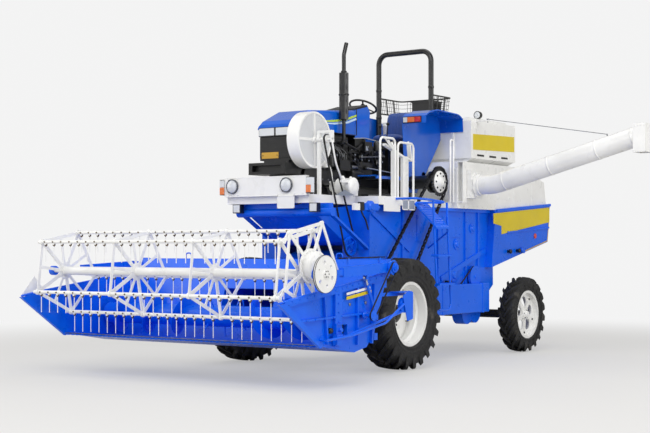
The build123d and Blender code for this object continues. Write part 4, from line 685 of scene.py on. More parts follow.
@fitting([BLUE, BOARD_YELLOW, WHITE], "header")
def table_trim(shape):
    """Edge trim of the side panels, lifting eyes, and the colour bands on the left panel."""
    for side in SIDES:
        x = side * (HEADER_HALF + 0.017)
        shape.tube([(x, -3.5, 0.985), (x, -3.1, 1.048), (x, -2.33, 1.146), (x, -1.4, 1.288)], 0.012, 8)
        x += side * 0.004
        lip = [at(x, y, z) for y, z in ((-3.36, 0.972), (-3.1, 1.012), (-2.33, 1.108), (-1.42, 1.245))]
        for start, end in zip(lip, lip[1:]):
            shape.beam(start, end, 0.022, 0.062)
        shape.box((side * (HEADER_HALF - 0.05), side * HEADER_HALF), (-1.4, -1.3), (1.43, 1.437))
    for x in (-1.2, 1.2):
        eye = [(x, -1.36, 1.43), (x, -1.36, 1.5), (x + 0.09, -1.36, 1.5), (x + 0.09, -1.36, 1.43)]
        shape.tube(eye, 0.009, 8, 0, 0.04)
    span = (HEADER_HALF + 0.0345, HEADER_HALF + 0.0365)
    shape.prism([(-2.29, 0.985), (-1.79, 1.048), (-1.79, 1.086), (-2.29, 1.022)], 0, span, 1)
    shape.prism([(-2.29, 1.036), (-1.81, 1.098), (-1.81, 1.126), (-2.29, 1.064)], 0, span, 2)


def reel_clips():
    """Spring clips of the tines on every bat, left out where a spider holds the bat."""
    reach, places, spider_clearance = 1.755, 26, 0.035
    coil_profile = [(0, 0.011), (0.002, 0.013), (0.006, 0.013), (0.008, 0.011)]
    count = len([j for j in JOINT if j.startswith("bat_")])
    for n in range(1, count + 1):
        bat = JOINT[f"bat_{n}_turn"]
        shape = Shape()
        for x in series(-reach, 2 * reach / (places - 1), places):
            if min(abs(x - spider) for spider in SPIDERS) <= spider_clearance:
                continue
            place = Vector((ORIGIN.x + x, bat.y, bat.z))
            for shift in (-0.014, -0.004, 0.006):
                shape.lathe(place + shift * X - 0.036 * Z, X, coil_profile, 12)
            shape.rod(place - 0.022 * Z, place - 0.056 * Z, 0.0065, 8)
            shape.bolt(place - 0.026 * Y, -Y)
        piece(f"tine_clips_{n}", shape, f"bat_{n}", [CLIP, STEEL])


@fitting([WHITE], "reel_arms")
def reel_disc_cover(shape):
    """White cover round the eccentric disc at the left end of the reel."""
    y, z = -2.85, 1.37
    profile = [(0, 0.15), (0.003, 0.1612), (0.095, 0.1612), (0.1, 0.1612), (0.112, 0.1605), (0.113, 0.03)]
    shape.lathe(at(1.885, y, z), X, profile, 48, 0, False)
    shape.bolt_ring(at(1.993, y, z), 0.13, 8, 10, X, 0.009)


@fitting([WHITE, BLACK], "reel")
def reel_fittings(shape):
    """Bolts on the reel's spiders and the dark rim of its drive disc."""
    reel = JOINT["reel_spin"].copy()
    for spider in SPIDERS:
        for side in SIDES:
            reel.x = ORIGIN.x + spider + side * 0.005
            shape.bolt_ring(reel, 0.082, 10, 0, side * X)
            for angle in series(43, 72, 5):
                for reach in (0.13, 0.44):
                    shape.bolt(polar(reel, reach, angle), side * X, 0.007)
    reel.x = ORIGIN.x + 2.135
    half_rim = [(-0.015, 0.203), (-0.015, 0.2055), (-0.006, 0.2055), (-0.004, 0.199)]
    shape.lathe(reel, X, half_rim + [(-x, r) for x, r in reversed(half_rim)], 56, 1, False)
    shape.bolt_ring(reel + 0.026 * X, 0.035, 6, 0, X, 0.006, 1)


# ---------------------------------------------------------------- deck and front board
@fitting([BLACK, LAMP, AMBER, RING], bevel=0.002)
def front_lamp_details(shape):
    """Rings and ribbed glass of the headlamps, and the rims and glass of the other front lamps."""
    ring = [(-0.012, 0.095), (0.012, 0.094), (0.016, 0.089), (0.01, 0.084)]
    glass = [(0.002, 0.085), (0.012, 0.079), (0.022, 0.058), (0.027, 0.03), (0.028, 0.005)]
    for x in (-0.533, 0.337):
        centre = at(x, -1.224, 2.357)
        shape.lathe(centre, -Y, ring, 40, 3)
        shape.lathe(centre, -Y, glass, 40, 1)
        for turn in (0, 2.1, 4.2):
            shape.bolt(centre + Vector((0.09 * cos(turn), -0.016, 0.09 * sin(turn))), -Y, 0.005)
    low, high, front = 2.25, 2.45, -1.218
    for x in (-0.7043, 0.6793):
        outer, inner = (x - 0.037, x + 0.037), (x - 0.0365, x + 0.0365)
        shape.box(outer, (front - 0.006, -1.145), (low, low + 0.006))
        shape.box(outer, (front - 0.006, -1.145), (high - 0.006, high))
        shape.box(inner, (front - 0.008, front), (low + 0.008, low + 0.098), 2)
        shape.box(inner, (front - 0.008, front), (low + 0.104, high - 0.008), 1)
    deep = (-1.152, -1.078)
    for x in (-0.52, 0.7):
        shape.box((x - 0.06, x + 0.06), deep, (2.014, 2.024))
        shape.box((x - 0.06, x + 0.06), deep, (2.121, 2.129))
        for side in SIDES:
            shape.box((x + side * 0.054, x + side * 0.062), deep, (2.02, 2.125))
        shape.box((x - 0.05, x + 0.05), (-1.156, -1.15), (2.028, 2.117), 1)
        shape.box((x - 0.055, x + 0.055), (-1.082, -1.074), (2.02, 2.125))


@fitting([WHITE], bevel=0.001)
def front_board_trim(shape):
    """Folded lips and bolts of the front board, and the lips of its hanging plate."""
    for z in (2.228, 2.466):
        shape.box((-0.668, 0.643), (-1.2125, -1.209), (z - 0.006, z + 0.006))
    shape.bolt_grid((-0.6, -0.45, 0.2, 0.45, 0.59), [-1.2105], (2.245, 2.452), -Y)
    y = (-1.2195, -1.2155)
    shape.box((0.19, 0.462), y, (2.062, 2.074))
    shape.box((0.19, 0.462), y, (2.212, 2.224))
    for x in (0.196, 0.456):
        shape.box((x - 0.006, x + 0.006), y, (2.062, 2.224))


@fitting([WHITE, GREY, BELT], bevel=0.001)
def gear_case(shape):
    """White gear case beside the screen's post, with its flanges, ports, guard plate, hose and strut."""
    profile = [(0, 0.03), (0.008, 0.058), (0.09, 0.07), (0.1, 0.084), (0.112, 0.084), (0.118, 0.104),
               (0.128, 0.112), (0.148, 0.112), (0.154, 0.1085), (0.33, 0.1085), (0.336, 0.115),
               (0.358, 0.115), (0.37, 0.1), (0.384, 0.045)]
    shape.lathe(at(0.4, -0.33, 2.36), X, profile, 36)
    shape.bolt_ring(at(0.758, -0.33, 2.36), 0.096, 8, 20, X)
    shape.lathe(at(0.6, -0.36, 2.455), Z, [(0, 0.032), (0.026, 0.032), (0.03, 0.022), (0.046, 0.02)], 16)
    shape.lathe(at(0.7, -0.32, 2.46), Z, [(0, 0.02), (0.02, 0.02), (0.024, 0.012), (0.03, 0.012)], 12)
    shape.lathe(at(0.43, -0.38, 2.41), Z - 0.4 * Y, [(0, 0.02), (0.022, 0.02), (0.026, 0.012)], 12)
    shape.prism([(0.55, 2.238), (0.87, 2.238), (0.71, 2.315)], 1, (-0.478, -0.472), 1)
    shape.bolt_grid((0.6, 0.82), [-0.478], [2.25], -Y, slot=1)
    hose = [(0.5, -1.06, 2.15), (0.42, -1.09, 2.115), (0.2, -1.1, 2.125), (0.02, -1.1, 2.16)]
    strut = [(0.765, -0.83, 2.905), (0.76, -0.758, 2.695), (0.758, -0.729, 2.629), (0.725, -0.555, 2.43)]
    shape.tube(hose, 0.008, 8, 2, 0.08)
    shape.tube(strut, 0.012, 12, 0, 0.04)
    shape.box((0.71, 0.74), (-0.575, -0.4), (2.405, 2.435))


@fitting([WHITE, GREY, BLUE, BLACK], bevel=0.001)
def deck_details(shape):
    """Tread pattern and plates of the deck, and the casting, blocks and hose under its edge."""
    for y in series(-0.02, 0.12, 7):
        shape.box((0.7, 0.96), (y, y + 0.02), (2.2395, 2.2435))
    shape.box((0.9995, 1.004), (0.0, 0.4), (2.045, 2.232))
    for z in (2.215, 2.065):
        shape.bolt_grid([1.004], (0.02, 0.38), [z], X, 0.006)
    frame_y = (0.45, 0.775)
    for z in ((2.2, 2.235), (2.07, 2.085)):
        shape.box((0.9995, 1.006), frame_y, z)
    for y in ((0.45, 0.466), (0.595, 0.623), (0.76, 0.776)):
        shape.box((0.9995, 1.006), y, (2.07, 2.235))
    shape.box((0.9985, 1.0015), frame_y, (2.07, 2.235), 1)
    shape.box((0.965, 1.004), (-0.435, -0.12), (2.05, 2.138), 2)
    shape.lathe(at(0.965, -0.3, 2.1), X, [(0, 0.075), (0.05, 0.07), (0.056, 0.05), (0.066, 0.045)], 20, 2)
    shape.bolt_ring(at(1.016, -0.3, 2.1), 0.058, 6, 0, X, 0.007, 2)
    shape.rod(at(0.985, -0.16, 2.09), at(0.985, -0.09, 2.09), 0.022, 14, 2)
    shape.box((0.955, 1.0), (-0.665, -0.545), (2.045, 2.13))
    shape.box((0.955, 1.004), (-0.535, -0.46), (2.04, 2.15), 3)
    hose = [(0.985, -0.5, 2.04), (0.985, -0.46, 1.98), (0.96, -0.36, 1.93), (0.96, -0.3, 1.8)]
    shape.tube(hose, 0.011, 10, 3, 0.08)


@fitting([WHITE], bevel=0.003)
def deck_levers(shape):
    """White post with its base plate, arm, lever and pins on the deck."""
    shape.box((0.84, 0.885), (0.665, 0.8), (2.235, 2.8))
    shape.beam(at(0.862, 0.225, 2.932), at(0.862, 0.7, 2.785), 0.05, 0.03)
    shape.beam(at(0.862, 0.84, 2.97), at(0.862, 0.88, 2.74), 0.055, 0.028)
    shape.rod(at(0.88, 0.77, 2.78), at(0.88, 0.89, 2.75), 0.012)
    shape.rod(at(0.862, 0.835, 2.96), at(0.862, 0.832, 3.01), 0.011)
    shape.bolt_grid([0.885], [0.73], (2.3, 2.55, 2.72), X, 0.01)
    shape.box((0.8, 0.93), (0.62, 0.85), (2.2385, 2.25))


@fitting([BLUE])
def ladder_grips(shape):
    """Raised grip teeth on the rungs and grip bars on the sloping top step."""
    for z in (1.091, 1.476):
        start = 0.754 + 0.12 * (2.205 - z) / 1.475
        for y in series(start, 0.028, 13):
            shape.box((1.245, 1.355), (y, y + 0.01), (z - 0.001, z + 0.006))
    for x in series(1.03, 0.034, 9):
        z = 2.179 - (x - 1.0003) * 0.96
        shape.beam(at(x, 0.765, z), at(x, 1.095, z), 0.01, 0.008, Z)


# ---------------------------------------------------------------- tractor
@fitting([LIME, SKY, BLACK])
def bonnet_stripes(shape):
    """Two-colour sweep on both bonnet sides, the louvres and line under it, and the rear seam."""
    upper = [(-0.58, 3.205), (-0.1, 3.262), (0.16, 3.3), (0.42, 3.372), (0.42, 3.345), (0.18, 3.272),
             (-0.1, 3.232)]
    lower = [(-0.44, 3.195), (-0.1, 3.222), (0.2, 3.262), (0.42, 3.33), (0.42, 3.3), (0.22, 3.238),
             (-0.1, 3.2)]
    for side in SIDES:
        shape.prism(upper, 0, (side * 0.289, side * 0.2915), 0)
        shape.prism(lower, 0, (side * 0.289, side * 0.2915), 1)
        for z in series(3.105, 0.014, 7):
            shape.box((side * 0.2885, side * 0.2925), (-0.86, -0.52), (z, z + 0.007), 2)
        shape.box((side * 0.289, side * 0.2925), (-0.95, 0.42), (3.087, 3.096), 2)
        shape.box((side * 0.2845, side * 0.292), (0.424, 0.432), (3.09, 3.44), 2)


@fitting([BLACK, LAMP, PLATE_YELLOW], bevel=0.002)
def tractor_nose(shape):
    """Headlamp band, bare yellow plate and frame lines on the tractor's nose."""
    shape.box((-0.266, 0.266), (-1.008, -0.995), (2.998, 3.112))
    for side in SIDES:
        shape.box((side * 0.014, side * 0.256), (-1.016, -1.0), (3.008, 3.104), 1)
    shape.box((-0.256, 0.256), (-0.996, -0.984), (2.72, 2.99))
    for z in series(2.732, 0.021, 12):
        shape.box((-0.256, 0.256), (-0.9985, -0.995), (z, z + 0.004))
    shape.box((-0.225, 0.045), (-1.0, -0.988), (2.715, 2.795), 2)
    shape.bolt_grid((-0.205, 0.025), [-1.0], [2.755], -Y, 0.006)
    shape.box((-0.29, 0.29), (-1.193, -1.187), (2.5, 2.512))


@fitting([BLACK, WHITE, STEEL, BELT, GREY], bevel=0.003)
def engine_fittings(shape):
    """Cylinder head, manifolds, filters, pump, injector lines, pulleys, hoses and bolts of the engine."""
    shape.box((-0.16, 0.16), (-0.42, 0.3), (3.058, 3.085))
    for y in series(-0.34, 0.17, 4):
        for side in SIDES:
            shape.rod(at(side * 0.205, y, 2.985), at(side * 0.262, y, 2.985), 0.026)
    for side in SIDES:
        shape.rod(at(side * 0.262, -0.38, 2.985), at(side * 0.262, 0.22, 2.985), 0.03, 14)
    shape.lathe(at(0.27, -0.3, 2.62), Z, [(0, 0.045), (0.01, 0.052), (0.15, 0.052), (0.17, 0.035)], 20, 1)
    shape.lathe(at(0.27, -0.15, 2.64), Z, [(0, 0.042), (0.01, 0.048), (0.13, 0.048), (0.15, 0.03)], 20)
    shape.box((0.205, 0.33), (-0.02, 0.22), (2.6, 2.74))
    for y in series(0.01, 0.05, 4):
        line = [(0.3, y, 2.74), (0.31, y, 2.84), (0.24, y - 0.12, 2.93), (0.215, y - 0.12, 2.96)]
        shape.tube(line, 0.004, 6, 2, 0.05)
    shape.rod(at(0.208, -0.6, 2.72), at(0.3, -0.6, 2.72), 0.072, 20)
    shape.rod(at(0.208, -0.62, 2.5), at(0.25, -0.62, 2.5), 0.11, 24)
    top_hose = [(0.22, -0.8, 2.98), (0.235, -0.7, 3.0), (0.235, -0.55, 2.9), (0.21, -0.48, 2.86)]
    shape.tube(top_hose, 0.024, 10, 3, 0.08)
    shape.tube([(-0.22, -0.8, 2.56), (-0.26, -0.62, 2.58), (-0.21, -0.45, 2.66)], 0.024, 10, 3, 0.08)
    shape.box((0.182, 0.26), (0.5, 0.86), (2.52, 2.74))
    shape.rod(at(0.18, 1.02, 2.6), at(0.3, 1.02, 2.6), 0.06, 20)
    shape.box((0.18, 0.215), (0.36, 1.25), (2.86, 2.94))
    shape.bolt_grid([0.215], series(0.42, 0.095, 9), [2.9], X, 0.009, 2)
    for y in series(-0.78, 0.13, 8):
        for side in SIDES:
            shape.bolt(at(side * 0.211, y, 2.47), side * X, 0.009, 2)
    engine_side(shape)


def engine_side(shape):
    """Unions, starter, hoses, linkage rods, bosses, brackets, box and filter on the visible side."""
    for y in series(-0.3, 0.15, 4):
        shape.lathe(at(0.222, y, 2.8), X, [(0, 0.038), (0.02, 0.038), (0.026, 0.03), (0.04, 0.028)], 14)
        shape.bolt(at(0.262, y, 2.8), X, 0.012, 2)
        shape.box((0.215, 0.232), (y + 0.045, y + 0.06), (2.6, 2.96))
    starter = [(0, 0.03), (0.01, 0.052), (0.2, 0.052), (0.21, 0.04), (0.28, 0.038), (0.29, 0.02)]
    shape.lathe(at(0.27, 0.3, 2.575), Y, starter, 18)
    shape.rod(at(0.27, 0.32, 2.66), at(0.27, 0.46, 2.66), 0.024, 14, 2)
    hoses = (
        (0.014, 3, (0.245, 0.12, 3.02), (0.3, 0.18, 2.96), (0.3, 0.42, 2.9), (0.26, 0.6, 2.98)),
        (0.008, 3, (0.25, -0.05, 2.96), (0.33, 0.05, 2.88), (0.34, 0.3, 2.8), (0.28, 0.52, 2.7)),
        (0.006, 3, (0.25, 0.02, 2.92), (0.35, 0.16, 2.78), (0.34, 0.36, 2.7), (0.29, 0.58, 2.62)),
        (0.01, 3, (0.24, 0.62, 3.1), (0.3, 0.66, 2.98), (0.3, 0.74, 2.84), (0.24, 0.86, 2.76)),
        (0.007, 4, (0.26, 0.4, 3.05), (0.28, 0.66, 3.07), (0.3, 0.96, 3.04), (0.26, 1.16, 3.0)))
    for radius, slot, *route in hoses:
        shape.tube(route, radius, 8, slot, 0.06)
    shape.rod(at(0.3, 0.5, 2.8), at(0.3, 1.1, 2.84), 0.009, 8, 2)
    shape.rod(at(0.31, 0.66, 2.66), at(0.31, 1.3, 2.62), 0.008, 8, 4)
    for y, z, reach in ((0.52, 2.8, 0.034), (1.08, 2.84, 0.03), (0.68, 2.66, 0.03), (0.96, 2.74, 0.05)):
        profile = [(0, reach), (0.03, reach), (0.034, reach * 0.7), (0.05, reach * 0.6)]
        shape.lathe(at(0.262, y, z), X, profile, 16)
        shape.bolt(at(0.312, y, z), X, 0.011, 2)
    for y in series(0.44, 0.17, 5):
        shape.box((0.205, 0.245), (y, y + 0.035), (2.745, 2.86))
        shape.bolt_grid([0.245], [y + 0.017], (2.83, 2.77), X, 0.009, 4)
    shape.box((0.225, 0.3), (0.62, 0.8), (2.88, 3.02))
    shape.box((0.3, 0.304), (0.64, 0.7), (2.9, 2.96), 4)
    filter_profile = [(0, 0.02), (0.005, 0.042), (0.12, 0.042), (0.13, 0.03), (0.15, 0.012)]
    shape.lathe(at(0.3, 0.9, 2.9), Z, filter_profile, 16)


@fitting([PLASTIC, TRACTOR_BLUE], bevel=0.002)
def tractor_controls(shape):
    """Levers, pedals, steering wheel cap, dash top and the blue foot plates."""
    knob = [(0, 0.01), (0.012, 0.022), (0.03, 0.024), (0.044, 0.01)]
    for x, y, z in ((0.1, 1.3, 3.27), (0.16, 1.36, 3.3), (-0.12, 1.3, 3.27), (-0.2, 1.42, 3.3)):
        top = at(x * 1.5, y - 0.07, z)
        shape.rod(at(x, y, 2.96), top, 0.008, 8)
        shape.lathe(top - 0.01 * Z, Z, knob, 14)
    for x in (-0.3, -0.2, 0.28):
        shape.rod(at(x, 0.86, 2.72), at(x, 0.8, 2.86), 0.009, 8)
        shape.box((x - 0.035, x + 0.035), (0.775, 0.8), (2.84, 2.9))
    wheel_cap = [(0, 0.034), (0.012, 0.034), (0.02, 0.024), (0.022, 0.005)]
    shape.lathe(at(0.0, 1.017, 3.56), 0.42 * Y + 0.91 * Z, wheel_cap, 20)
    dash = [(0.44, 3.438), (0.735, 3.504), (0.8, 3.442), (0.8, 3.47), (0.74, 3.535), (0.44, 3.462)]
    shape.prism(dash, 0, (-0.25, 0.25))
    for side in SIDES:
        shape.box((side * 0.245, side * 0.62), (0.42, 1.24), (2.535, 2.549), 1)
        shape.box((side * 0.6, side * 0.62), (0.42, 1.24), (2.5, 2.549), 1)
        shape.box((side * 0.18, side * 0.6), (0.6, 0.66), (2.5, 2.536))
        shape.box((side * 0.18, side * 0.6), (1.02, 1.08), (2.5, 2.536))
        for y in series(0.47, 0.085, 9):
            shape.box((side * 0.28, side * 0.58), (y, y + 0.016), (2.548, 2.552))


@fitting([PLASTIC, AMBER, LAMP, RED, TRACTOR_BLUE], bevel=0.002)
def fender_lamps(shape):
    """Lamp clusters on the fenders' front edges and the blue edge strips."""
    edge = ((1.262, 3.4), (1.33, 3.44), (1.56, 3.5), (2.18, 3.478), (2.29, 3.42))
    for side in SIDES:
        for low, high, slot in ((0.52, 0.585, 2), (0.59, 0.7, 1), (0.705, 0.8, 3)):
            shape.box((side * low, side * high), (1.245, 1.262), (3.315, 3.385), slot)
        shape.box((side * 0.51, side * 0.81), (1.251, 1.264), (3.305, 3.395))
        shape.tube([(side * 0.878, y, z) for y, z in edge], 0.009, 8, 4, 0.08)


@fitting([BLACK, CHAIN])
def exhaust_details(shape):
    """Clamp rings and heat shield slots of the upright exhaust."""
    x, y = 0.36, 0.02
    for z, radius in ((3.262, 0.032), (3.905, 0.036), (3.6, 0.067)):
        clamp = [(-0.011, radius), (-0.009, radius + 0.003), (0.009, radius + 0.003), (0.011, radius)]
        shape.lathe(at(x, y, z), Z, clamp, 24)
        shape.bolt(at(x + radius + 0.002, y, z), X, 0.007)
    sides = 8
    reach = 0.063 * cos(pi / sides) + 0.0005
    for turn in series(pi / sides, 2 * pi / sides, sides):
        for z in (3.34, 3.5, 3.66, 3.8):
            foot = at(x + reach * cos(turn), y + reach * sin(turn), z)
            shape.beam(foot, foot + 0.07 * Z, 0.012, 0.002, cos(turn) * Y - sin(turn) * X, 1)


@fitting([BLACK])
def guard_mesh(shape):
    """Wire mesh of the basket behind the roll bar and the black box in it."""
    wire_radius = 0.003
    wires = [[(side * 0.423, y, 3.56), (side * 0.45, y, 3.79)] for side in SIDES
             for y in series(2.18, 0.052, 10)]
    wires += [[(x * 0.95, 2.7, 3.56), (x, 2.73, 3.79)] for x in series(-0.33, 0.055, 13)]
    for wire in wires:
        shape.tube(wire, wire_radius, 6)
    for z, reach, back in ((3.62, 0.43, 2.708), (3.68, 0.437, 2.716), (3.74, 0.444, 2.724)):
        hoop = [(reach, 2.14, z), (reach, back, z), (-reach, back, z), (-reach, 2.14, z)]
        shape.tube(hoop, wire_radius, 6, 0, 0.09)
    for x in series(-0.36, 0.09, 9):
        shape.tube([(x, 2.15, 3.558), (x, 2.7, 3.558)], wire_radius, 6)
    shape.box((-0.02, 0.33), (2.36, 2.62), (3.565, 3.73))
    shape.box((-0.03, 0.34), (2.35, 2.63), (3.715, 3.735))
    for y in series(2.39, 0.045, 5):
        shape.box((0.33, 0.336), (y, y + 0.02), (3.59, 3.69))


@fitting([BLACK], bevel=0.002)
def roll_bar_fittings(shape):
    """Clamps, bolts and foot bushes of the roll bar."""
    clamp = [(-0.018, 0.0385), (-0.016, 0.043), (0.016, 0.043), (0.018, 0.0385)]
    for side in SIDES:
        for z in (3.1, 3.5, 3.9):
            shape.lathe(at(side * 0.45, 2.12, z), Z, clamp)
            shape.bolt(at(side * 0.45, 2.078, z), -Y, 0.009)
        shape.lathe(at(side * 0.45, 1.83, 2.6), side * X, [(-0.05, 0.055), (0.05, 0.055)], 20)


@fitting([WHITE, SCREEN], "screen")
def screen_mesh(shape):
    """Perforated face and rim bolts of the rotary screen."""
    centre = JOINT["screen_spin"].copy()
    centre.x = ORIGIN.x + 0.5
    shape.skin([circle(centre - 0.0085 * X, -Y, Z, radius, 48) for radius in (0.335, 0.05)], 1, False, False)
    shape.bolt_ring(centre, 0.347, 16, 11, X, 0.006)


@fitting([BELT])
def belt_cogs(shape):
    """Cog lines on the belt that turns the rotary screen."""
    loop = loop_path(at(0, -0.3, 1.59), 0.1365, JOINT["screen_spin"], 0.0645, 0.03, ORIGIN.x + 0.68)
    belt(shape, loop, 0.02, 0.003, 0, 0.5)


# ---------------------------------------------------------------- tank, hood, body and unloader
@fitting([WHITE, BOARD_YELLOW, BLACK, LAMP], bevel=0.001)
def tank_details(shape):
    """Bare yellow board, slots, bolts, ribs, grab rail and the lamp on the grain tank."""
    wall = 1.0
    board = [(2.375, 2.985), (3.651, 3.02), (3.651, 3.25), (2.375, 3.212)]
    shape.prism(board, 0, (wall - 0.001, wall + 0.004), 1)
    for y in series(2.5, 0.37, 3):
        shape.box((wall - 0.001, wall + 0.0035), (y, y + 0.2), (2.898, 2.925), 2)
    shape.bolt_grid([wall], (2.33, 3.0, 3.67), (2.88, 2.97, 3.28, 3.385), X, 0.009)
    lamp = at(0.89, 2.72, 3.515)
    shape.lathe(lamp, -Y, [(-0.06, 0.03), (-0.04, 0.055), (0.02, 0.06), (0.026, 0.055)], 24, 2)
    shape.lathe(lamp, -Y, [(0.02, 0.052), (0.03, 0.045), (0.036, 0.02)], 24, 3)
    shape.rod(at(0.89, 2.76, 3.455), at(0.89, 2.75, 3.49), 0.014, 10, 2)
    for x in (-0.7, 0.0, 0.7):
        shape.box((x - 0.02, x + 0.02), (2.3, 2.318), (2.88, 3.39))
    shape.box((-0.9, 0.9), (2.415, 3.585), (3.452, 3.46))
    x, near, far = 0.955, 1.8, 1.885
    for y in (near, far):
        shape.rod(at(x, y, 2.21), at(x, y, 3.02), 0.016)
    shape.tube([(x, near, 3.0), (x, near, 3.09), (x, far, 3.09), (x, far, 3.0)], 0.016, 12, 0, 0.04)


@fitting([BOARD_YELLOW, GOLD, RED, BLACK, BLUE])
def hood_details(shape):
    """Bare yellow board, reflector, knobs, gold line and bolts on the straw hood."""
    board = [(2.992, 2.077), (2.992, 1.93), (3.242, 1.895), (3.242, 1.772), (4.858, 1.976), (4.858, 2.212)]
    knob = [(0, 0.022), (0.03, 0.018), (0.034, 0.034), (0.06, 0.034), (0.066, 0.026)]
    for side in SIDES:
        out = side * X
        shape.prism(board, 0, (side * 0.9985, side * 1.005), 0)
        for start, end in (((3.97, 1.51), (4.79, 1.68)), ((4.79, 1.68), (4.845, 1.976))):
            shape.beam(at(side * 1.001, *start), at(side * 1.001, *end), 0.004, 0.016, X, 1)
        shape.lathe(at(side, 4.353, 1.753), out, [(0, 0.042), (0.01, 0.042), (0.014, 0.034)], 24, 2)
        shape.rod(at(side, 3.89, 1.53), at(side * 1.05, 3.89, 1.53), 0.045, 20, 4)
        for y, z in ((3.446, 1.514), (3.732, 1.525)):
            shape.lathe(at(side, y, z), out, knob, 16, 3)
        for n in range(15):
            shape.bolt(at(side, 3.1 + 0.12 * n, 2.115 + 0.0087 * n), out, slot=4)
            shape.bolt(at(side, 3.12 + 0.115 * n, 1.365 + 0.0237 * n), out, slot=4)


@fitting([WHITE], bevel=0.001)
def upper_body_details(shape):
    """Bolt rows, panel laps and a hatch on the white section over the walkers."""
    for side in SIDES:
        for y in series(2.02, 0.135, 20):
            shape.bolt(at(side * 0.98, y, 2.16 + max(y - 3.06, 0) * 0.073), side * X)
        for y, top in ((2.86, 2.78), (3.7, 2.7764), (4.3, 2.6684)):
            shape.box((side * 0.9795, side * 0.9825), (y - 0.015, y + 0.015), (2.22, top))
    shape.box((0.9795, 0.9835), (3.15, 3.55), (2.3, 2.62))
    shape.bolt_grid([0.9835], (3.17, 3.53), (2.32, 2.6), X)


@fitting([BLUE], bevel=0.002)
def body_side_fittings(shape):
    """Covers, bearings and bolts on the threshing body's sides."""
    bearings = ((0.38, 1.42, 0.12), (2.1, 1.62, 0.08), (2.55, 1.85, 0.07), (0.95, 1.1, 0.09),
                (2.02, 1.18, 0.1))
    for side in SIDES:
        out = side * X
        shape.bolt_grid([side * 0.902], (0.64, 1.58, 2.35, 2.72), series(0.9, 0.13, 9), out)
        for y, z, r in bearings:
            centre = at(side * 0.88, y, z)
            profile = [(0, r), (0.012, r), (0.014, r * 0.6), (0.035, r * 0.5), (0.04, r * 0.25)]
            shape.lathe(centre, out, profile, 28)
            shape.bolt_ring(centre + 0.012 * out, r * 0.8, 4, 45, out)
        shape.box((side * 0.88, side * 0.888), (1.02, 1.5), (1.66, 2.02))
        shape.box((side * 0.88, side * 0.888), (1.7, 2.22), (1.72, 2.02))
        shape.bolt_grid([side * 0.888], (1.05, 1.47, 1.73, 2.19), (1.76, 1.99), out)
    shape.bolt_grid(series(-0.75, 0.15, 11), [-0.15], [2.09], -Y, 0.009)


@fitting([BLUE, BELT])
def lower_belt_drive(shape):
    """Belt pulleys and a belt low on the body's left side."""
    pulleys = [at(0.93, 2.55, 1.15), at(0.93, 2.12, 0.9), at(0.93, 0.6, 0.98)]
    for centre, radius in zip(pulleys, (0.16, 0.12, 0.11)):
        profile = [(-0.018, radius), (-0.012, radius - 0.01), (0, radius - 0.018), (0.012, radius - 0.01),
                   (0.018, radius)]
        shape.lathe(centre, X, profile, 36)
        shape.rod(centre - 0.05 * X, centre + 0.035 * X, 0.025, 14)
    loop = loop_path(pulleys[0], 0.15, pulleys[1], 0.11, 0.04, pulleys[0].x)
    belt(shape, loop, 0.018, 0.012, 1)


@fitting([BLACK, BLUE])
def fuel_box_fittings(shape):
    """Filler neck and cap, drain plug and strap bolts of the fuel box."""
    cap = [(0, 0.035), (0.03, 0.035), (0.032, 0.05), (0.055, 0.05), (0.06, 0.04)]
    shape.lathe(at(0.955, 1.75, 1.05), Z, cap)
    shape.bolt(at(0.95, 2.1, 0.632), -Z, 0.012)
    shape.bolt_grid([1.011], (1.5225, 2.6725), (0.7, 0.98), X, 0.009, 1)


# Y and Z of the axis that the unloading tube leaves its sump on.
UNLOADER = (2.252, 2.466)


@fitting([WHITE], "unloader")
def unloader_fittings(shape):
    """Flange bolts, seam rings and spout strips of the unloading tube."""
    y, z = UNLOADER
    shape.bolt_ring(at(1.169, y, z), 0.158, 8, 0, X, 0.01)
    start, end = at(1.415, y, z), at(3.6, y, 3.06)
    run = (end - start).normalized()
    for share in (0.08, 0.4, 0.72, 0.955):
        seam = start.lerp(end, share) - run * 0.012
        shape.lathe(seam, run, [(0, 0.134), (0.002, 0.139), (0.022, 0.139), (0.024, 0.134)], 40)
    for side in SIDES:
        shape.bolt_grid(series(3.56, 0.045, 4), [y + side * 0.14], [3.18], side * Y)
    for x in (3.54, 3.71):
        shape.box((x - 0.003, x + 0.003), (2.112, 2.392), (2.83, 2.85))


@fitting([WHITE, BLACK])
def sump_fittings(shape):
    """Bolts, gasket and ribs of the sump that the unloading tube turns on."""
    y, z = UNLOADER
    shape.bolt_ring(at(1.13, y, z), 0.172, 8, 22.5, -X)
    gasket = [(0, 0.168), (0.004, 0.168), (0.004, 0.126), (0, 0.126)]
    shape.lathe(at(1.1495, y, z), X, gasket, 40, 1, False)
    for z in (2.32, 2.42, 2.52, 2.62):
        shape.box((0.98, 1.128), (2.076, 2.083), (z, z + 0.012))
        shape.box((0.98, 1.128), (2.421, 2.428), (z, z + 0.012))


# ---------------------------------------------------------------- seat
def seat_pads():
    """Cushion and backrest as soft crowned pads in place of the CAD solids."""
    low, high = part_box("operator_seat")
    y, z = ORIGIN.y, ORIGIN.z
    specs = (
        ("seat_cushion", (low.x, y + 1.53, low.z), (high.x, y + 1.88, z + 3.2), False),
        ("seat_backrest", (low.x + 0.01, y + 1.882, z + 3.11), (high.x - 0.01, y + 1.99, z + 3.56), True))
    for name, first, last, upright in specs:
        first, last = Vector(first), Vector(last)
        obj = pad(name, first, last, upright)
        inflate(obj, voxel=0.009, most=0.014)
        sew_channels(obj, first, last, upright)
    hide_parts("operator_seat")


def evaluated_mesh(obj):
    """A copy of the object's mesh with its modifiers worked in."""
    graph = bpy.context.evaluated_depsgraph_get()
    worked = obj.evaluated_get(graph)
    return bpy.data.meshes.new_from_object(worked, preserve_all_data_layers=True, depsgraph=graph)


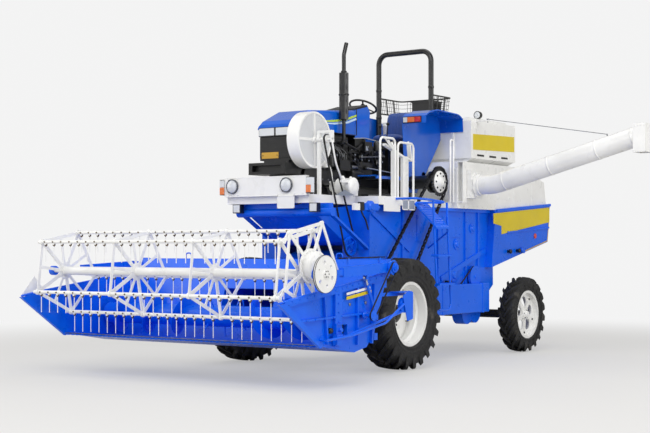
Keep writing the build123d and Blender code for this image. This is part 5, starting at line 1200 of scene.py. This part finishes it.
def inflate(obj, voxel, most):
    """Blow the pad up as cloth from an even mesh, each point moving at most so far."""
    remesh = obj.modifiers.new("even", "REMESH")
    remesh.mode = "VOXEL"
    remesh.voxel_size = voxel
    remesh.use_smooth_shade = True
    even = evaluated_mesh(obj)
    obj.modifiers.clear()
    obj.data = even
    start = [v.co.copy() for v in even.vertices]
    last_frame = 20
    cover = obj.modifiers.new("cloth", "CLOTH")
    cover.settings.use_pressure = True
    cover.settings.uniform_pressure_force = 4.0
    cover.settings.quality = 5
    cover.settings.effector_weights.gravity = 0.0
    cover.point_cache.frame_start = 1
    cover.point_cache.frame_end = last_frame
    for number in range(1, last_frame + 1):
        bpy.context.scene.frame_set(number)
    blown = evaluated_mesh(obj)
    obj.modifiers.clear()
    bpy.context.scene.frame_set(1)
    for vertex, before in zip(blown.vertices, start):
        move = vertex.co - before
        if move.length > most:
            vertex.co = before + move * (most / move.length)
    obj.data = blown


def sew_channels(obj, low, high, upright):
    """Press three sewn channels into the pad's face."""
    middle, half = (low.x + high.x) / 2, (high.x - low.x) / 2
    for vertex in obj.data.vertices:
        u = (vertex.co.x - middle) / half
        facing = vertex.normal.y < -0.35 if upright else vertex.normal.z > 0.35
        dip = sum(exp(-((u - place) / 0.028) ** 2) for place in (-0.45, 0.0, 0.45))
        if facing and abs(u) < 0.9:
            vertex.co -= vertex.normal * 0.006 * dip
    smooth = obj.modifiers.new("smooth", "SUBSURF")
    smooth.levels = smooth.render_levels = 1


def pad(name, low, high, upright):
    """Soft block: superellipse plan and domed faces, leaning when it is upright."""
    size = high - low
    middle = (low + high) / 2
    inset = 0.008
    wide, deep, thick = (size.x, size.z, size.y) if upright else size
    around, layers = 56, 14
    rings = []
    for t in series(-1, 1 / layers, 2 * layers + 1):
        reach = max(max(1 - abs(t) ** 3.2, 0.0) ** 0.45, 0.02)
        ring = []
        for turn in series(0, 2 * pi / around, around):
            c, s = cos(turn), sin(turn)
            radius = reach / (abs(c) ** 5 + abs(s) ** 5) ** 0.2
            u, v = c * radius, s * radius
            dome = (1 - u * u * 0.35) * (1 - v * v * 0.35)
            a, b = u * (wide / 2 - inset), v * (deep / 2 - inset)
            c = t * (0.8 + 0.2 * dome) * (thick / 2 - inset)
            if upright:
                lean = (b / deep + 0.5) * 0.055
                a, b, c = a, lean - c * 0.9 - 0.006, b
            ring.append(middle + Vector((a, b, c)))
        rings.append(ring)
    shape = Shape()
    shape.skin(rings)
    return piece(name, shape, "chassis", [SEAT])


# ---------------------------------------------------------------- stage, light and camera
BACKGROUND = (0.9, 0.9, 0.9, 1)


def stage():
    """Pale floor that fades into the same pale surroundings, seen without a horizon."""
    mesh = bpy.data.meshes.new("floor")
    reach = 60.0
    corners = [(-reach, -reach, 0), (reach, -reach, 0), (reach, reach, 0), (-reach, reach, 0)]
    mesh.from_pydata(corners, [], [[0, 1, 2, 3]])
    floor = placed("floor", mesh)
    n = material("floor")
    n.set(Base_Color=(0.62, 0.61, 0.59, 1), Roughness=0.75)
    distance = n.new("VectorMath", {0: n.place}, operation="LENGTH").outputs["Value"]
    limits = {"Value": distance, "From Min": 5.5, "From Max": 13.0, "To Min": 0.45}
    fade = n.new("MapRange", limits, interpolation_type="SMOOTHSTEP").outputs["Result"]
    seen = n.math("MULTIPLY", fade, n.new("LightPath").outputs["Is Camera Ray"])
    n.surface("Material Output", seen, n.shader, n.new("Emission", {"Color": BACKGROUND}))
    mesh.materials.append(n.block)


def world():
    """Even pale surroundings: background colour for the camera, softer fill for the light."""
    surroundings = bpy.data.worlds.new("studio")
    bpy.context.scene.world = surroundings
    n = Nodes(surroundings)
    fill = n.tree.nodes["Background"]
    n.feed(fill.inputs["Color"], (1.0, 0.985, 0.96, 1))
    n.feed(fill.inputs["Strength"], 0.42)
    ray = n.new("LightPath").outputs
    seen = n.math("MAXIMUM", ray["Is Camera Ray"], ray["Is Transmission Ray"])
    n.surface("World Output", seen, fill, n.new("Background", {"Color": BACKGROUND}))


def aim(obj, place, direction):
    """Put a lamp or the camera at a place, looking along a direction."""
    obj.location = place
    obj.rotation_mode = "QUATERNION"
    obj.rotation_quaternion = direction.to_track_quat("-Z", "Y")


def lights():
    """Large soft lamps round the machine."""
    middle = at(0, 0.5, 1.6)
    for name, place, size, power in (
            ("key", at(7, -10, 11), 8.0, 1040), ("front", at(-1.5, -14, 5.5), 7.0, 300),
            ("fill", at(-11, -7, 6), 8.0, 380), ("side", at(12, 1, 5), 7.0, 440),
            ("top", at(0, 2, 12), 9.0, 380)):
        light = bpy.data.lights.new(name, "AREA")
        light.energy, light.size = power, size
        aim(placed(name, light), place, middle - place)


def camera():
    """The photograph's viewpoint: level, yawed to the machine's left."""
    data = bpy.data.cameras.new("camera")
    yaw = radians(35.3)
    image_width, focal_pixels, horizon_drop = 650, 1350, 31.5
    data.lens = focal_pixels / image_width * data.sensor_width
    data.shift_y = horizon_drop / image_width
    data.clip_end = 200.0
    obj = placed("camera", data)
    aim(obj, at(10.507, -14.744, 1.566), cos(yaw) * Y - sin(yaw) * X)
    bpy.context.scene.camera = obj


# ---------------------------------------------------------------- the whole scene
STEPS = (
    camera, world, lights, stage, finish_cad_nodes, wheels, drive_chains, knife_sections, gear_case,
    reel_disc_cover, header_bolts, knife_drive_belt, knife_drive_box, reel_drive_chain, table_trim,
    reel_clips, reel_fittings, front_lamp_details, front_board_trim, deck_details, deck_levers,
    ladder_grips, bonnet_stripes, tractor_nose, engine_fittings, tractor_controls, fender_lamps,
    exhaust_details, guard_mesh, roll_bar_fittings, screen_mesh, belt_cogs, tank_details, hood_details,
    upper_body_details, body_side_fittings, lower_belt_drive, fuel_box_fittings, unloader_fittings,
    sump_fittings, seat_pads)

bpy.context.scene.view_settings.view_transform = "Standard"
for step in STEPS:
    step()
